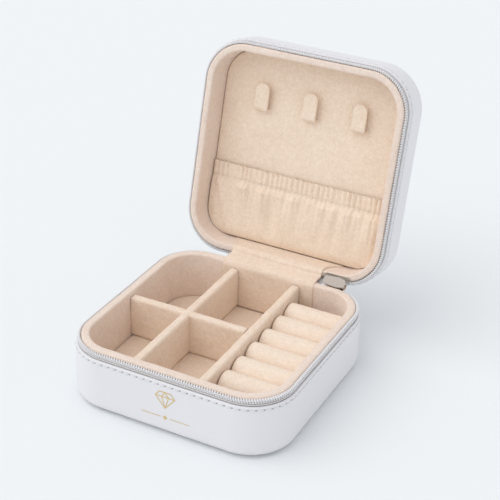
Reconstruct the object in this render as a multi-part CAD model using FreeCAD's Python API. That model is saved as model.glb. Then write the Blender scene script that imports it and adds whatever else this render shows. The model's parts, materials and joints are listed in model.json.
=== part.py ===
import FreeCAD, Part
import math
import os

from FreeCAD import Vector

# Small square travel jewelry case with a zip: a base tray, a padded lid on a leather strap hinge,
# velvet linings, removable dividers, ring rolls, necklace hooks and a gathered lid pocket.
# Millimetres. Origin at the centre of the base's resting face, +Z up, front face towards -Y.
# Lid pieces are drawn with the lid shut and then turned open about the hinge line.
# "Inset" is the distance inwards from the case's outer wall.

# Driving dimensions
HALF_WIDTH = 50.0
CORNER_RADIUS = 20.3
LAYER_GAP = 0.05

OPEN_ANGLE = 103.7
HINGE_Y = 50.05
HINGE_Z = 26.5
SLIDER_SHARE = 0.5

# Heights with the lid shut
BASE_LIP_Z = 25.0
BASE_CREST_Z = 28.5
LID_CREST_Z = 28.8
LID_LIP_Z = 32.3
LID_TOP_Z = 48.6
MEETING_Z = (BASE_CREST_Z + LID_CREST_Z) / 2

# Leather and board
LEATHER = 0.6
LIP_INSET = 1.75
LIP_LEG = 0.4
LIP_LEG_DEPTH = 6.0
LIP_ROUND = 0.8
BOTTOM_PANEL = 0.8
BOTTOM_PANEL_INSET = 3.2
BOTTOM_ROUND = 3.2
BOTTOM_FOLD = 5.6
BOARD_INNER_INSET = 1.3
BOTTOM_BOARD_TOP = 3.3
TOP_ROUND = 3.0
LID_FOAM = 1.3
LID_BOARD = 1.6

# Zip
TAPE_INSET = 1.8
TAPE = 0.4
TAPE_DEPTH = 11.0
COIL_OUTER_INSET = 0.7
COIL_INNER_INSET = 2.2
COIL_HEIGHT = 1.6
COIL_ROUND = 0.6
COIL_BELOW_CREST = 0.05
STRAP_HALF = 23.9
SLIDER_MOUTH_X = 36.3

# Velvet linings
LINING_OUTER_INSET = 2.3
BASE_WALL_INSET = 6.0
LID_WALL_INSET = 5.5
VELVET = 0.9
FLOOR_TOP_Z = 6.8
LID_PANEL_Z = 42.3
LID_PANEL = 2.4

# Dividers and ring rolls
DIVIDER = 4.0
DIVIDER_CREST_Z = 26.2
DIVIDER_ROUND = 1.9
DIVIDER_CLEARANCE = 0.2
LONG_DIVIDER_X = -16.4
PARTITION_X = 14.2
LAP_Z = 16.5
LAP_CLEARANCE = 0.1
ROLL_COUNT = 6
ROLL_PITCH = 12.2
ROLL_RADIUS = 6.0
ROLL_CREST_Z = 23.7
ROLL_CENTRE_Y = 1.0
ROLL_END_GAP = 0.4
BED_WALL_GAP = 0.5

# Hinge band
BAND = 0.6
BAND_HALF = 22.6
BAND_FLARE_HALF = 25.2
BAND_BACK_GAP = 0.1

# Hooks
HOOK_COUNT = 3
HOOK_SPACING = 24.0
HOOK_OFFSET_X = 0.4
HOOK_WIDTH = 7.8
HOOK_THICKNESS = 1.5
HOOK_STAND_OFF = 4.3
HOOK_FOOT_Y = -18.0
HOOK_TIP_Y = -31.2

# Pocket
POCKET_TOP_Y = 9.6
POCKET_CASING = 7.0
POCKET_CLOTH = 0.7
POCKET_BULGE = 4.2
POCKET_HEM_LIFT = 2.3
POCKET_SIDE_GAP = 0.25
ELASTIC = 0.6
ELASTIC_WIDTH = 5.0

# Slider and pull, drawn with the lid shut
SLIDER_X0 = 25.2
SLIDER_LENGTH = 10.0
SLIDER_Z = 28.1
SLIDER_WIDTH = 5.0
SLIDER_PLATE = 0.8
SLIDER_INNER_Y = 46.75
SLIDER_OUTER_Y = 50.15
RELIEF_Y = 46.5
RELIEF_X = (21.5, 38.5)
RELIEF_Z = (23.5, 33.8)
TAPE_DIP_Z = (25.45, 30.75)
SLIDER_SWEEP = 5.65
SLIDER_SWEEP_X = (24.6, 35.8)
BAIL_WIDTH = 1.6
BAIL_THICKNESS = 0.8
BAIL_RISE = 2.55
BAIL_X = (27.0, 33.5)
PULL_PIVOT_X = 31.5
PULL_PIVOT_RISE = 0.95
PULL_LENGTH = 22.0
PULL_WIDTH = 3.8
PULL_THICKNESS = 1.0
PULL_EYE_LENGTH = 5.2
PULL_EYE_HALF = 1.1

# Front emblem: a plain cut-stone outline over a short rule
EMBLEM_X = 1.8
EMBLEM_Z = 17.0
GEM_WIDTH = 9.0
GEM_HEIGHT = 7.6
FOIL = 0.08
FOIL_LINE = 0.42
RULE_Z = 8.6
RULE_LENGTH = 22.0

X_AXIS = Vector(1, 0, 0)
Z_AXIS = Vector(0, 0, 1)


def rounded_outline(points, place):
    """Closed wire through (a, b, radius) corners, each corner rounded by its radius."""
    count = len(points)
    starts, ends, edges = [], [], []
    for index in range(count):
        a, b, radius = points[index]
        corner = place(a, b)
        before = place(*points[index - 1][:2])
        after = place(*points[(index + 1) % count][:2])
        towards_before = (before - corner).normalize()
        towards_after = (after - corner).normalize()
        if radius <= 0:
            starts.append(corner)
            ends.append(corner)
            continue
        half = towards_before.getAngle(towards_after) / 2
        setback = radius / math.tan(half)
        middle = (towards_before + towards_after).normalize()
        reach = radius / math.sin(half) - radius
        starts.append(corner + towards_before * setback)
        ends.append(corner + towards_after * setback)
        edges.append(Part.Arc(starts[-1], corner + middle * reach, ends[-1]).toShape())
    for index in range(count):
        start = ends[index - 1]
        if start.distanceToPoint(starts[index]) > 1e-6:
            edges.append(Part.LineSegment(start, starts[index]).toShape())
    return Part.Wire(Part.__sortEdges__(edges))


def prism(points, place, along):
    """Solid from a rounded outline pushed along a vector."""
    return Part.Face(rounded_outline(points, place)).extrude(along)


def ribbon(path, thickness):
    """Outline of a ribbon of even thickness along a (a, b, radius) centre line."""
    sides = ([], [])
    count = len(path)
    half = thickness / 2
    for index in range(count):
        a, b, radius = path[index]
        here = Vector(a, b, 0)
        back = here - Vector(*path[index - 1][:2], 0) if index else None
        ahead = Vector(*path[index + 1][:2], 0) - here if index < count - 1 else None
        back = (back or ahead).normalize()
        ahead = ahead.normalize() if ahead else back
        left_back = Vector(-back.y, back.x, 0)
        left_ahead = Vector(-ahead.y, ahead.x, 0)
        mitre = (left_back + left_ahead).normalize()
        mitre = mitre * (half / mitre.dot(left_back))
        turn = back.x * ahead.y - back.y * ahead.x
        for sign, side in ((1, sides[0]), (-1, sides[1])):
            point = here + mitre * sign
            grown = radius - sign * half if turn > 0 else radius + sign * half
            side.append((point.x, point.y, max(grown, 0.02) if radius else 0))
    return sides[0] + sides[1][::-1]


def slab(inset, bottom, top):
    """Rounded-square plate with its edge at one inset."""
    half = HALF_WIDTH - inset
    radius = CORNER_RADIUS - inset
    corners = [(-half, -half, radius), (half, -half, radius), (half, half, radius), (-half, half, radius)]
    return prism(corners, lambda x, y: Vector(x, y, bottom), Z_AXIS * (top - bottom))


def ring(profile):
    """Solid swept round the rounded square from an (inset, z, radius) profile."""
    straight = HALF_WIDTH - CORNER_RADIUS
    wire = rounded_outline(profile, lambda inset, z: Vector(HALF_WIDTH - inset, -straight, z))
    face = Part.Face(wire)
    side = face.extrude(Vector(0, 2 * straight, 0))
    corner = face.revolve(Vector(straight, -straight, 0), Z_AXIS, -90)
    pieces = []
    for quarter in range(4):
        for piece in (side, corner):
            turned = piece.copy()
            turned.rotate(Vector(0, 0, 0), Z_AXIS, 90 * quarter)
            pieces.append(turned)
    return pieces[0].multiFuse(pieces[1:]).removeSplitter()


def box(x_range, y_range, z_range):
    """Box between three pairs of limits."""
    size = [high - low for low, high in (x_range, y_range, z_range)]
    return Part.makeBox(*size, Vector(x_range[0], y_range[0], z_range[0]))


def opened(shape, share=1.0):
    """The shape turned about the hinge line by a share of the opening angle."""
    turned = shape.copy()
    turned.rotate(Vector(0, HINGE_Y, HINGE_Z), X_AXIS, -OPEN_ANGLE * share)
    return turned


def opened_point(y, z):
    """A (y, z) point of the shut lid, where it lies with the lid open."""
    angle = math.radians(OPEN_ANGLE)
    dy = y - HINGE_Y
    dz = z - HINGE_Z
    return (
        HINGE_Y + dy * math.cos(angle) + dz * math.sin(angle),
        HINGE_Z - dy * math.sin(angle) + dz * math.cos(angle),
    )


def hinge_gap():
    """Space across the back where the leather strap takes the place of the zip."""
    return box((-STRAP_HALF - LAYER_GAP, STRAP_HALF + LAYER_GAP), (HINGE_Y - 10, HINGE_Y + 10), (0, LID_TOP_Z))


def coil_gap():
    """Space at the back without zip coil: the strap and the parked slider."""
    return box((-STRAP_HALF - LAYER_GAP, SLIDER_MOUTH_X), (HINGE_Y - 10, HINGE_Y + 10), (0, LID_TOP_Z))


def slider_relief():
    """Shallow pocket behind the velvet rims for the slider's inner plate."""
    return box(RELIEF_X, (RELIEF_Y, HALF_WIDTH), RELIEF_Z)


def slider_sweep():
    """Round space about the hinge line that the slider takes up as the lid moves."""
    start, end = SLIDER_SWEEP_X
    return Part.makeCylinder(SLIDER_SWEEP, end - start, Vector(start, HINGE_Y, HINGE_Z), X_AXIS)


def tape_dip():
    """Stretch at the parked slider where both tapes are folded away from it."""
    return box((STRAP_HALF, SLIDER_MOUTH_X), (HINGE_Y - 10, HINGE_Y + 10), TAPE_DIP_Z)


def base_leather_wrap():
    under = BOTTOM_PANEL + LAYER_GAP
    inner_leg = LIP_INSET - LIP_LEG
    profile = [
        (BOTTOM_FOLD, under, 0),
        (0, under, BOTTOM_ROUND),
        (0, BASE_LIP_Z, LIP_ROUND),
        (LIP_INSET, BASE_LIP_Z, LIP_ROUND),
        (LIP_INSET, BASE_LIP_Z - LIP_LEG_DEPTH, 0),
        (inner_leg, BASE_LIP_Z - LIP_LEG_DEPTH, 0),
        (inner_leg, BASE_LIP_Z - LEATHER, 0),
        (LEATHER, BASE_LIP_Z - LEATHER, 0),
        (LEATHER, under + LEATHER, BOTTOM_ROUND - LEATHER),
        (BOTTOM_FOLD, under + LEATHER, 0),
    ]
    return ring(profile)


def base_side_board():
    bottom = BOTTOM_PANEL + 2 * LAYER_GAP + LEATHER
    outer = LEATHER + LAYER_GAP
    profile = [
        (outer, bottom, BOTTOM_ROUND - LEATHER - LAYER_GAP),
        (BOTTOM_FOLD, bottom, 0),
        (BOTTOM_FOLD, bottom + LEATHER, 0),
        (BOARD_INNER_INSET, bottom + LEATHER, BOTTOM_ROUND - 2 * LEATHER),
        (BOARD_INNER_INSET, BASE_LIP_Z - LEATHER - LAYER_GAP, 0),
        (outer, BASE_LIP_Z - LEATHER - LAYER_GAP, 0),
    ]
    return ring(profile)


def base_bottom_board():
    bottom = BOTTOM_PANEL + 3 * LAYER_GAP + 2 * LEATHER
    return slab(BOTTOM_ROUND + 1.0, bottom, BOTTOM_BOARD_TOP)


def base_bottom_panel():
    return slab(BOTTOM_PANEL_INSET, 0, BOTTOM_PANEL)


def zip_tape(edge_z, towards):
    """Tape along one half of the zip, with its free edge at one height."""
    far_z = edge_z + towards * TAPE_DEPTH
    profile = [
        (TAPE_INSET, edge_z, 0),
        (TAPE_INSET + TAPE, edge_z, 0),
        (TAPE_INSET + TAPE, far_z, 0),
        (TAPE_INSET, far_z, 0),
    ]
    return ring(profile).cut(hinge_gap()).cut(tape_dip())


def zip_coil(edge_z, towards):
    """Plain envelope of the coil teeth along one half of the zip."""
    far_z = edge_z + towards * COIL_HEIGHT
    profile = [
        (COIL_OUTER_INSET, edge_z, COIL_ROUND),
        (COIL_INNER_INSET, edge_z, COIL_ROUND),
        (COIL_INNER_INSET, far_z, COIL_ROUND),
        (COIL_OUTER_INSET, far_z, COIL_ROUND),
    ]
    return ring(profile).cut(coil_gap())


def lining(crest_z, foot_z, wall_inset):
    """Velvet folded over the rim, an upside-down U that lines the inner wall."""
    towards = 1 if foot_z > crest_z else -1
    half = (wall_inset - LINING_OUTER_INSET) / 2
    inner_half = half - VELVET
    profile = [
        (LINING_OUTER_INSET, foot_z, 0),
        (LINING_OUTER_INSET, crest_z, half - 0.01),
        (wall_inset, crest_z, half - 0.01),
        (wall_inset, foot_z, 0),
        (wall_inset - VELVET, foot_z, 0),
        (wall_inset - VELVET, crest_z + towards * VELVET, inner_half - 0.01),
        (LINING_OUTER_INSET + VELVET, crest_z + towards * VELVET, inner_half - 0.01),
        (LINING_OUTER_INSET + VELVET, foot_z, 0),
    ]
    return ring(profile).cut(slider_relief())


def rim_core(crest_z, foot_z, wall_inset):
    """Foam and board strip inside the folded velvet."""
    towards = 1 if foot_z > crest_z else -1
    outer = LINING_OUTER_INSET + VELVET + LAYER_GAP
    inner = wall_inset - VELVET - LAYER_GAP
    top = crest_z + towards * (VELVET + LAYER_GAP)
    radius = (inner - outer) / 2 - 0.01
    profile = [(outer, foot_z, 0), (outer, top, radius), (inner, top, radius), (inner, foot_z, 0)]
    return ring(profile).cut(slider_relief())


def base_floor_pad():
    return slab(BASE_WALL_INSET + LAYER_GAP, BOTTOM_BOARD_TOP + LAYER_GAP, FLOOR_TOP_Z)


def divider_blank(low, high, across):
    """Padded divider along X (across="y") or along Y (across="x") with a rounded top and ends."""
    bottom = FLOOR_TOP_Z + LAYER_GAP
    half = DIVIDER / 2
    section = [
        (-half, bottom, 0),
        (half, bottom, 0),
        (half, DIVIDER_CREST_Z, DIVIDER_ROUND),
        (-half, DIVIDER_CREST_Z, DIVIDER_ROUND),
    ]
    side = [
        (low, bottom, 0),
        (high, bottom, 0),
        (high, DIVIDER_CREST_Z, DIVIDER_ROUND),
        (low, DIVIDER_CREST_Z, DIVIDER_ROUND),
    ]
    if across == "y":
        body = prism(section, lambda a, z: Vector(low, a, z), Vector(high - low, 0, 0))
        return body.common(prism(side, lambda a, z: Vector(a, -half, z), Vector(0, DIVIDER, 0)))
    body = prism(section, lambda a, z: Vector(a, low, z), Vector(0, high - low, 0))
    return body.common(prism(side, lambda a, z: Vector(-half, a, z), Vector(DIVIDER, 0, 0)))


def wall_face():
    """Distance from the centre to the base's inner velvet wall."""
    return HALF_WIDTH - BASE_WALL_INSET


def long_run():
    """Front and back ends of the dividers that run front to back."""
    back = wall_face() - BAND - BAND_BACK_GAP - DIVIDER_CLEARANCE
    return -wall_face() + DIVIDER_CLEARANCE, back


def divider_long():
    blank = divider_blank(*long_run(), "x")
    half = DIVIDER / 2 + LAP_CLEARANCE
    notch = box((-half, half), (-half, half), (0, LAP_Z))
    shape = blank.cut(notch)
    shape.translate(Vector(LONG_DIVIDER_X, 0, 0))
    return shape


def divider_cross():
    low = -wall_face() + DIVIDER_CLEARANCE
    high = PARTITION_X - DIVIDER / 2 - DIVIDER_CLEARANCE
    half = DIVIDER / 2 + LAP_CLEARANCE
    x_range = (LONG_DIVIDER_X - half, LONG_DIVIDER_X + half)
    notch = box(x_range, (-DIVIDER, DIVIDER), (LAP_Z - LAP_CLEARANCE, BASE_CREST_Z))
    return divider_blank(low, high, "y").cut(notch)


def ring_partition():
    shape = divider_blank(*long_run(), "x")
    shape.translate(Vector(PARTITION_X, 0, 0))
    return shape


def ring_section():
    """Space between the partition and the right wall, from the floor up."""
    inside = slab(BASE_WALL_INSET + BED_WALL_GAP, FLOOR_TOP_Z, BASE_CREST_Z)
    low = PARTITION_X + DIVIDER / 2 + ROLL_END_GAP
    back = long_run()[1]
    return inside.common(box((low, HALF_WIDTH), (-HALF_WIDTH, back), (0, BASE_CREST_Z)))


def ring_bed():
    top = ROLL_CREST_Z - 2 * ROLL_RADIUS - LAYER_GAP
    return ring_section().common(slab(0, FLOOR_TOP_Z + LAYER_GAP, top))


def ring_rolls():
    """The ring rolls, front one first, cut to the ring section's outline."""
    rolls = {}
    room = ring_section()
    for index in range(ROLL_COUNT):
        y = ROLL_CENTRE_Y + (index - (ROLL_COUNT - 1) / 2) * ROLL_PITCH
        centre = Vector(0, y, ROLL_CREST_Z - ROLL_RADIUS)
        bar = Part.makeCylinder(ROLL_RADIUS, HALF_WIDTH, centre, X_AXIS)
        rolls[f"ring_roll_{index + 1}"] = bar.common(room)
    return rolls


def lid_leather_wrap():
    """Leather skin of the lid: top, rounded edge, side and the lip folded inwards."""
    inner_leg = LIP_INSET - LIP_LEG
    top = LID_TOP_Z
    profile = [
        (0, LID_LIP_Z, LIP_ROUND),
        (LIP_INSET, LID_LIP_Z, LIP_ROUND),
        (LIP_INSET, LID_LIP_Z + LIP_LEG_DEPTH, 0),
        (inner_leg, LID_LIP_Z + LIP_LEG_DEPTH, 0),
        (inner_leg, LID_LIP_Z + LEATHER, 0),
        (LEATHER, LID_LIP_Z + LEATHER, 0),
        (LEATHER, top - LEATHER, TOP_ROUND - LEATHER),
        (BOTTOM_FOLD, top - LEATHER, 0),
        (BOTTOM_FOLD, top, 0),
        (0, top, TOP_ROUND),
    ]
    return ring(profile).fuse(slab(BOTTOM_FOLD, top - LEATHER, top)).removeSplitter()


def lid_side_board():
    outer = LEATHER + LAYER_GAP
    top = LID_TOP_Z - LEATHER - LAYER_GAP - TOP_ROUND
    profile = [
        (outer, LID_LIP_Z + LEATHER + LAYER_GAP, 0),
        (BOARD_INNER_INSET, LID_LIP_Z + LEATHER + LAYER_GAP, 0),
        (BOARD_INNER_INSET, top, 0),
        (outer, top, 0),
    ]
    return ring(profile)


def lid_top_foam():
    top = LID_TOP_Z - LEATHER - LAYER_GAP
    return slab(TOP_ROUND, top - LID_FOAM, top)


def lid_top_board():
    top = LID_TOP_Z - LEATHER - LID_FOAM - 2 * LAYER_GAP
    return slab(BOARD_INNER_INSET + LAYER_GAP, top - LID_BOARD, top)


def lid_lining_foot():
    return LID_TOP_Z - LEATHER - LID_FOAM - LID_BOARD - 3 * LAYER_GAP


def lid_back_panel():
    return slab(LID_WALL_INSET + LAYER_GAP, LID_PANEL_Z, LID_PANEL_Z + LID_PANEL)


def necklace_hooks():
    """Velvet strips that leave the panel, turn and rise in front of it."""
    hooks = {}
    half = HOOK_THICKNESS / 2
    front_z = LID_PANEL_Z - HOOK_STAND_OFF + half
    path = [
        (HOOK_FOOT_Y - half, LID_PANEL_Z - LAYER_GAP, 0),
        (HOOK_FOOT_Y - half, front_z, HOOK_THICKNESS),
        (HOOK_TIP_Y, front_z, 0),
    ]
    for index in range(HOOK_COUNT):
        x = HOOK_OFFSET_X + (index - (HOOK_COUNT - 1) / 2) * HOOK_SPACING
        low = x - HOOK_WIDTH / 2
        strip = prism(ribbon(path, HOOK_THICKNESS), lambda y, z: Vector(low, y, z), X_AXIS * HOOK_WIDTH)
        tip = HOOK_WIDTH / 2 - 0.05
        outline = [
            (low, HOOK_FOOT_Y + HOOK_WIDTH, 0),
            (low, HOOK_TIP_Y, tip),
            (low + HOOK_WIDTH, HOOK_TIP_Y, tip),
            (low + HOOK_WIDTH, HOOK_FOOT_Y + HOOK_WIDTH, 0),
        ]
        cutter = prism(outline, lambda a, b: Vector(a, b, LID_CREST_Z), Z_AXIS * (LID_PANEL_Z - LID_CREST_Z))
        hooks[f"necklace_hook_{index + 1}"] = strip.common(cutter)
    return hooks


def pocket_path():
    """Centre line of the pocket's cloth from its hem down to the seam at the hinge side."""
    casing_y = POCKET_TOP_Y + POCKET_CASING
    foot_y = HALF_WIDTH - LID_WALL_INSET - BAND - 3 * BAND_BACK_GAP
    return [
        (POCKET_TOP_Y, LID_PANEL_Z - POCKET_HEM_LIFT, 0),
        (casing_y, LID_PANEL_Z - POCKET_HEM_LIFT - 0.3, 4),
        (casing_y + 9, LID_PANEL_Z - POCKET_BULGE, 8),
        (foot_y - 6, LID_PANEL_Z - POCKET_BULGE + 1.0, 6),
        (foot_y, LID_PANEL_Z - POCKET_CLOTH / 2 - LAYER_GAP, 0),
    ]


def pocket_room():
    """Space that the pocket may fill, clear of the lid's side walls."""
    room = slab(LID_WALL_INSET + POCKET_SIDE_GAP, LID_CREST_Z, LID_PANEL_Z)
    return room.common(box((-HALF_WIDTH, HALF_WIDTH), (0, HALF_WIDTH), (LID_CREST_Z, LID_PANEL_Z)))


def pocket_strip(path, thickness):
    """A strip of cloth right across the lid along a (y, z, radius) path."""
    across = Vector(2 * HALF_WIDTH, 0, 0)
    return prism(ribbon(path, thickness), lambda y, z: Vector(-HALF_WIDTH, y, z), across).common(pocket_room())


def elastic_path():
    """Centre line of the elastic, in the middle of the casing."""
    start_y = POCKET_TOP_Y + (POCKET_CASING - ELASTIC_WIDTH) / 2
    hem_z = LID_PANEL_Z - POCKET_HEM_LIFT
    slope = -0.3 / POCKET_CASING
    return [
        (start_y, hem_z + slope * (start_y - POCKET_TOP_Y), 0),
        (start_y + ELASTIC_WIDTH, hem_z + slope * (start_y + ELASTIC_WIDTH - POCKET_TOP_Y), 0),
    ]


def lid_pocket():
    path = pocket_path()
    cloth = pocket_strip(path, POCKET_CLOTH)
    casing = pocket_strip([path[0], path[1][:2] + (0,)], ELASTIC + 2 * POCKET_CLOTH)
    tunnel = pocket_strip(elastic_path(), ELASTIC + 2 * LAYER_GAP)
    return cloth.fuse(casing).cut(tunnel).removeSplitter()


def pocket_elastic():
    return pocket_strip(elastic_path(), ELASTIC)


def hinge_strap():
    """Leather strap that carries the lid, drawn with the lid open."""
    layer_y = HALF_WIDTH - TAPE_INSET - TAPE / 2
    path = [
        (layer_y, BASE_LIP_Z - TAPE_DEPTH + 2, 0),
        (layer_y, BASE_LIP_Z + 0.3, 1.0),
        (HINGE_Y, HINGE_Z, 2.0),
        (*opened_point(layer_y, LID_LIP_Z - 0.3), 1.0),
        (*opened_point(layer_y, LID_LIP_Z + TAPE_DEPTH - 2), 0),
    ]
    outline = ribbon(path, TAPE)
    return prism(outline, lambda y, z: Vector(-STRAP_HALF, y, z), X_AXIS * (2 * STRAP_HALF))


def hinge_velvet_band():
    """Velvet from the base's back wall over both rims to the lid's panel, with the lid open."""
    base_y = HALF_WIDTH - BASE_WALL_INSET - BAND_BACK_GAP - BAND / 2
    lid_y = HALF_WIDTH - LID_WALL_INSET - BAND_BACK_GAP - BAND / 2
    over = BAND / 2 + BAND_BACK_GAP
    path = [
        (base_y, FLOOR_TOP_Z + LAYER_GAP, 0),
        (base_y, BASE_CREST_Z + over, 2.2),
        (HINGE_Y - 0.8, BASE_CREST_Z + over + 0.8, 6.0),
        (*opened_point(lid_y, LID_CREST_Z - over), 2.2),
        (*opened_point(lid_y, LID_PANEL_Z - LAYER_GAP), 0),
    ]
    outline = ribbon(path, BAND)
    wide = prism(outline, lambda y, z: Vector(-BAND_FLARE_HALF, y, z), X_AXIS * (2 * BAND_FLARE_HALF))
    start_y, start_z = opened_point(lid_y, LID_CREST_Z + 2)
    end_y, end_z = opened_point(lid_y, LID_PANEL_Z)
    for side in (-1, 1):
        corners = [
            (side * BAND_HALF, 0),
            (side * BAND_HALF, start_y),
            (side * BAND_FLARE_HALF, end_y),
            (side * BAND_FLARE_HALF, end_y + 2),
            (side * (BAND_FLARE_HALF + 2), end_y + 2),
            (side * (BAND_FLARE_HALF + 2), 0),
        ]
        wire = Part.makePolygon([Vector(x, y, 0) for x, y in corners + corners[:1]])
        wide = wide.cut(Part.Face(wire).extrude(Z_AXIS * max(start_z, end_z) * 2))
    return wide


def slider_plate(y_low):
    """One plate of the slider: a wide nose with rounded corners and a narrower tail."""
    half = SLIDER_WIDTH / 2
    nose_x = SLIDER_X0 + SLIDER_LENGTH
    points = [
        (SLIDER_X0, SLIDER_Z - half * 0.75, 0.6),
        (nose_x - 3.2, SLIDER_Z - half, 1.5),
        (nose_x, SLIDER_Z - half * 0.7, 1.0),
        (nose_x, SLIDER_Z + half * 0.7, 1.0),
        (nose_x - 3.2, SLIDER_Z + half, 1.5),
        (SLIDER_X0, SLIDER_Z + half * 0.75, 0.6),
    ]
    return prism(points, lambda x, z: Vector(x, y_low, z), Vector(0, SLIDER_PLATE, 0))


def zip_slider():
    nose_x = SLIDER_X0 + SLIDER_LENGTH
    inner_face = SLIDER_INNER_Y + SLIDER_PLATE
    neck = [
        (nose_x - 3.6, SLIDER_Z, 0.3),
        (nose_x - 1.2, SLIDER_Z - 1.2, 0.4),
        (nose_x - 0.6, SLIDER_Z, 0.3),
        (nose_x - 1.2, SLIDER_Z + 1.2, 0.4),
    ]
    post = prism(neck, lambda x, z: Vector(x, inner_face, z), Vector(0, SLIDER_OUTER_Y - inner_face, 0))
    body = slider_plate(SLIDER_INNER_Y).fuse(slider_plate(SLIDER_OUTER_Y)).fuse(post)
    return body.removeSplitter()


def slider_bail():
    """Arch on the slider's outer plate that holds the pull."""
    foot = SLIDER_OUTER_Y + SLIDER_PLATE
    top = foot + BAIL_RISE
    low, high = BAIL_X
    t = BAIL_THICKNESS
    points = [
        (low, foot, 0),
        (low + t, foot, 0),
        (low + t, top - t, 0.5),
        (high - t, top - t, 0.5),
        (high - t, foot, 0),
        (high, foot, 0),
        (high, top, 1.0),
        (low, top, 1.0),
    ]
    low_z = SLIDER_Z - BAIL_WIDTH / 2
    return prism(points, lambda x, y: Vector(x, y, low_z), Z_AXIS * BAIL_WIDTH)


def zip_pull_tab():
    """Pull with a long eye over the bail, hanging straight out from the slider."""
    pivot_y = SLIDER_OUTER_Y + SLIDER_PLATE + PULL_PIVOT_RISE
    half = PULL_WIDTH / 2
    low_x = PULL_PIVOT_X - PULL_THICKNESS / 2
    start = pivot_y - 0.45
    neck_y = start + PULL_EYE_LENGTH + 1.8
    end = start + PULL_LENGTH
    waist = half - 0.5
    outline = [
        (start, SLIDER_Z - half, 0.4),
        (neck_y - 0.8, SLIDER_Z - half, 0.4),
        (neck_y, SLIDER_Z - waist, 0.4),
        (neck_y + 2.0, SLIDER_Z - waist, 0.4),
        (neck_y + 3.0, SLIDER_Z - half, 0.4),
        (end, SLIDER_Z - half, half - 0.1),
        (end, SLIDER_Z + half, half - 0.1),
        (neck_y + 3.0, SLIDER_Z + half, 0.4),
        (neck_y + 2.0, SLIDER_Z + waist, 0.4),
        (neck_y, SLIDER_Z + waist, 0.4),
        (neck_y - 0.8, SLIDER_Z + half, 0.4),
        (start, SLIDER_Z + half, 0.4),
    ]
    eye = [
        (start + 0.9, SLIDER_Z - PULL_EYE_HALF, 0.4),
        (start + 0.9 + PULL_EYE_LENGTH, SLIDER_Z - PULL_EYE_HALF, 0.4),
        (start + 0.9 + PULL_EYE_LENGTH, SLIDER_Z + PULL_EYE_HALF, 0.4),
        (start + 0.9, SLIDER_Z + PULL_EYE_HALF, 0.4),
    ]
    through = X_AXIS * PULL_THICKNESS
    plate = prism(outline, lambda y, z: Vector(low_x, y, z), through)
    return plate.cut(prism(eye, lambda y, z: Vector(low_x, y, z), through))


def foil_line(start, end, width=FOIL_LINE):
    """Thin gold line on the front face between two (x, z) points."""
    a = Vector(start[0], 0, start[1])
    b = Vector(end[0], 0, end[1])
    along = (b - a).normalize()
    side = Vector(-along.z, 0, along.x) * (width / 2)
    face_y = Vector(0, -HALF_WIDTH - FOIL, 0)
    corners = [a - side, b - side, b + side, a + side]
    wire = Part.makePolygon([corner + face_y for corner in corners + corners[:1]])
    dots = [Part.makeCylinder(width / 2, FOIL, point + face_y, Vector(0, 1, 0)) for point in (a, b)]
    return Part.Face(wire).extrude(Vector(0, FOIL, 0)).multiFuse(dots)


def front_emblem():
    """Gold outline of a cut stone, and a rule with a small lozenge under it."""
    half = GEM_WIDTH / 2
    top = EMBLEM_Z + GEM_HEIGHT / 2
    girdle = top - GEM_HEIGHT * 0.3
    tip = EMBLEM_Z - GEM_HEIGHT / 2
    crown = half * 0.58
    culet = half * 0.36
    x = EMBLEM_X
    points = {
        "top_left": (x - crown, top),
        "top_right": (x + crown, top),
        "right": (x + half, girdle),
        "left": (x - half, girdle),
        "tip": (x, tip),
        "mid_left": (x - culet, girdle),
        "mid_right": (x + culet, girdle),
        "mid_top": (x, top),
    }
    pairs = [
        ("top_left", "top_right"),
        ("top_right", "right"),
        ("right", "tip"),
        ("tip", "left"),
        ("left", "top_left"),
        ("left", "right"),
        ("mid_left", "tip"),
        ("mid_right", "tip"),
        ("mid_left", "mid_top"),
        ("mid_right", "mid_top"),
    ]
    lines = [foil_line(points[a], points[b]) for a, b in pairs]
    emblem = lines[0].multiFuse(lines[1:])
    reach = RULE_LENGTH / 2
    lozenge = 1.1
    rules = [
        foil_line((x - reach, RULE_Z), (x - 2 * lozenge, RULE_Z), 0.3),
        foil_line((x + 2 * lozenge, RULE_Z), (x + reach, RULE_Z), 0.3),
    ]
    corners = [(x - lozenge, RULE_Z), (x, RULE_Z + lozenge), (x + lozenge, RULE_Z), (x, RULE_Z - lozenge)]
    wire = Part.makePolygon([Vector(a, -HALF_WIDTH - FOIL, b) for a, b in corners + corners[:1]])
    gem = Part.Face(wire).extrude(Vector(0, FOIL, 0))
    return Part.makeCompound([emblem.removeSplitter(), *rules, gem])


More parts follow.
